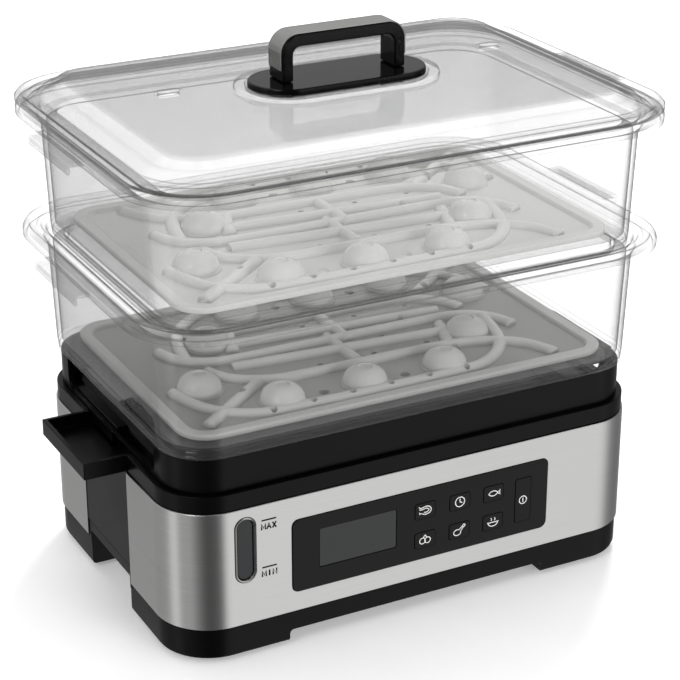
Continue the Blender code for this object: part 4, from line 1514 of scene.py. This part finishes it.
@dataclass
class HiddenWorks(Assembly):
    """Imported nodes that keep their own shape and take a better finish."""

    def looks(self) -> dict[str, Finish]:
        """Return the finish of each kept node."""
        out = {
            "water_tank": TANK,
            "heater_plate": BRIGHT,
            "heating_element": BRASS,
            "thermal_cutout": CERAMIC,
            "level_float": FLOAT,
            "display_module": SMOKE,
            "control_board": BOARD,
            "power_board": BOARD,
            "drip_tray": TANK,
        }
        for i in range(1, 5):
            out["base_screw_%d" % i] = BRIGHT
        for i in range(1, 8):
            out["switch_%d" % i] = TANK
        return out

    def build(self) -> None:
        """Set each kept node's material."""
        for name, finish in self.looks().items():
            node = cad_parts[name]
            if not node.material_slots:
                node.data.materials.append(finish.material())
            for place in node.material_slots:
                place.material = finish.material()
            LOG.info("%s: %s", name, finish.name)


@dataclass
class Studio:
    """Camera, floor and soft lights."""

    eye: Point = (-0.5323, -1.0208, 0.6355)
    heading: float = 27.61
    dip: float = 23.57
    lens: float = 109.8
    glow: float = 0.28
    sweep: float = 0.15
    walls: tuple[Pair, ...] = (
        (-180, 0.5),
        (-130, 0.35),
        (-100, 0.18),
        (-72, 0.3),
        (-50, 0.95),
        (-20, 1.0),
        (-13, 0.95),
        (-3, 0.1),
        (30, 0.07),
        (48, 0.2),
        (60, 0.42),
        (82, 0.35),
        (88, 0.95),
        (100, 0.9),
        (108, 0.4),
        (150, 0.35),
        (180, 0.5),
    )

    def camera(self) -> None:
        """Place the camera."""
        data = bpy.data.cameras.new("camera")
        data.lens = self.lens
        data.sensor_width = 36.0
        data.clip_end = 50.0
        obj = bpy.data.objects.new("camera", data)
        obj.location = self.eye
        obj.rotation_euler = (math.radians(90.0 - self.dip), 0.0, math.radians(-self.heading))
        bpy.context.scene.collection.objects.link(obj)
        bpy.context.scene.camera = obj

    def floor(self) -> None:
        """Lay a plain white floor that fades into the backdrop."""
        deselect()
        bpy.ops.mesh.primitive_plane_add(size=30.0, location=(0.0, 0.0, -0.0005))
        floor = rename(bpy.context.active_object, "floor")
        paper = Finish("white_paper_matt", "FFFFFF", 0.9, grain_mm=8.0, bump=0.0, gloss=0.1)
        floor.data.materials.append(paper.material())
        shade = paper.material().node_tree.nodes["Principled BSDF"]
        shade.inputs["Emission Color"].default_value = (1.0, 1.0, 1.0, 1.0)
        shade.inputs["Emission Strength"].default_value = self.glow
        floor.visible_glossy = False

    def light(self, name: str, place: Point, size: Pair, power: float, mirrored: bool = True) -> None:
        """Add one soft area light aimed at the steamer.

        Args:
            name: the light's name.
            place: its position.
            size: its width and height.
            power: its power in watts.
            mirrored: whether glossy surfaces show it.
        """
        data = bpy.data.lights.new(name, "AREA")
        data.shape = "RECTANGLE"
        data.size, data.size_y = size
        data.energy = power
        obj = bpy.data.objects.new(name, data)
        obj.location = place
        obj.visible_glossy = mirrored
        aim = Vector((0.0, 0.0, 0.16)) - Vector(place)
        obj.rotation_euler = aim.to_track_quat("-Z", "Y").to_euler()
        bpy.context.scene.collection.objects.link(obj)

    def build(self) -> None:
        """Set up the whole studio."""
        self.camera()
        self.floor()
        self.light("overhead", (0.1, 0.5, 2.2), (1.6, 1.4), 16.0, False)
        self.light("rake", (1.1, 1.2, 1.25), (0.5, 0.5), 22.0, False)
        self.light("left_front", (-1.5, -0.9, 1.5), (0.7, 0.9), 8.0)
        self.light("low_front", (0.2, -1.7, 0.55), (1.0, 0.5), 10.0, False)
        world = bpy.data.worlds.new("studio_air")
        world.use_nodes = True
        tree = world.node_tree
        tree.nodes.clear()
        where = add_node(tree, "ShaderNodeTexCoord")
        turned = add_node(
            tree,
            "ShaderNodeVectorMath",
            {"operation": "SCALE"},
            {"Vector": where.outputs["Generated"], "Scale": -1.0},
        )
        parts = add_node(tree, "ShaderNodeSeparateXYZ", inputs={"Vector": turned.outputs["Vector"]})
        angle = add_node(
            tree, "ShaderNodeMath", {"operation": "ARCTAN2"}, {"0": parts.outputs["X"], "1": parts.outputs["Y"]}
        )
        turn = add_node(
            tree,
            "ShaderNodeMapRange",
            inputs={"Value": angle.outputs["Value"], "From Min": -math.pi, "From Max": math.pi},
        )
        walls = add_node(tree, "ShaderNodeValToRGB", inputs={"Fac": turn.outputs["Result"]})
        ramp = walls.color_ramp
        while len(ramp.elements) > 1:
            ramp.elements.remove(ramp.elements[-1])
        ramp.elements[0].position = 0.0
        ramp.elements[0].color = (self.walls[0][1],) * 3 + (1.0,)
        for degrees, value in self.walls[1:]:
            ramp.elements.new((degrees + 180.0) / 360.0).color = (value, value, value, 1.0)
        behind = add_node(
            tree,
            "ShaderNodeMapRange",
            inputs={
                "Value": parts.outputs["Y"],
                "From Min": -0.15,
                "From Max": -0.55,
                "To Min": 0.0,
                "To Max": self.sweep,
            },
        )
        above = add_node(
            tree,
            "ShaderNodeMapRange",
            inputs={"Value": parts.outputs["Z"], "From Min": 0.02, "From Max": -0.12, "To Min": 0.0, "To Max": 1.0},
        )
        back = add_node(
            tree,
            "ShaderNodeMath",
            {"operation": "MULTIPLY"},
            {"0": behind.outputs["Result"], "1": above.outputs["Result"]},
        )
        total = add_node(
            tree, "ShaderNodeMath", {"operation": "ADD"}, {"0": walls.outputs["Color"], "1": back.outputs["Value"]}
        )
        sky = add_node(
            tree, "ShaderNodeBackground", inputs={"Color": linear("FFFFFF"), "Strength": total.outputs["Value"]}
        )
        add_node(tree, "ShaderNodeOutputWorld", inputs={"Surface": sky.outputs["Background"]})
        bpy.context.scene.world = world
        bpy.context.scene.view_settings.view_transform = "Standard"


def main() -> None:
    """Build the studio, then every sub-assembly."""
    logging.basicConfig(level=logging.INFO, format="%(name)s %(message)s")
    Studio().build()
    Housing().build()
    ControlPanel().build()
    Tray(body="lower_tray", tier=Tier.LOWER).build()
    Tray(body="upper_tray", tier=Tier.UPPER).build()
    EggPlate().build()
    Lid().build()
    HiddenWorks().build()


if __name__ == "__main__":
    main()
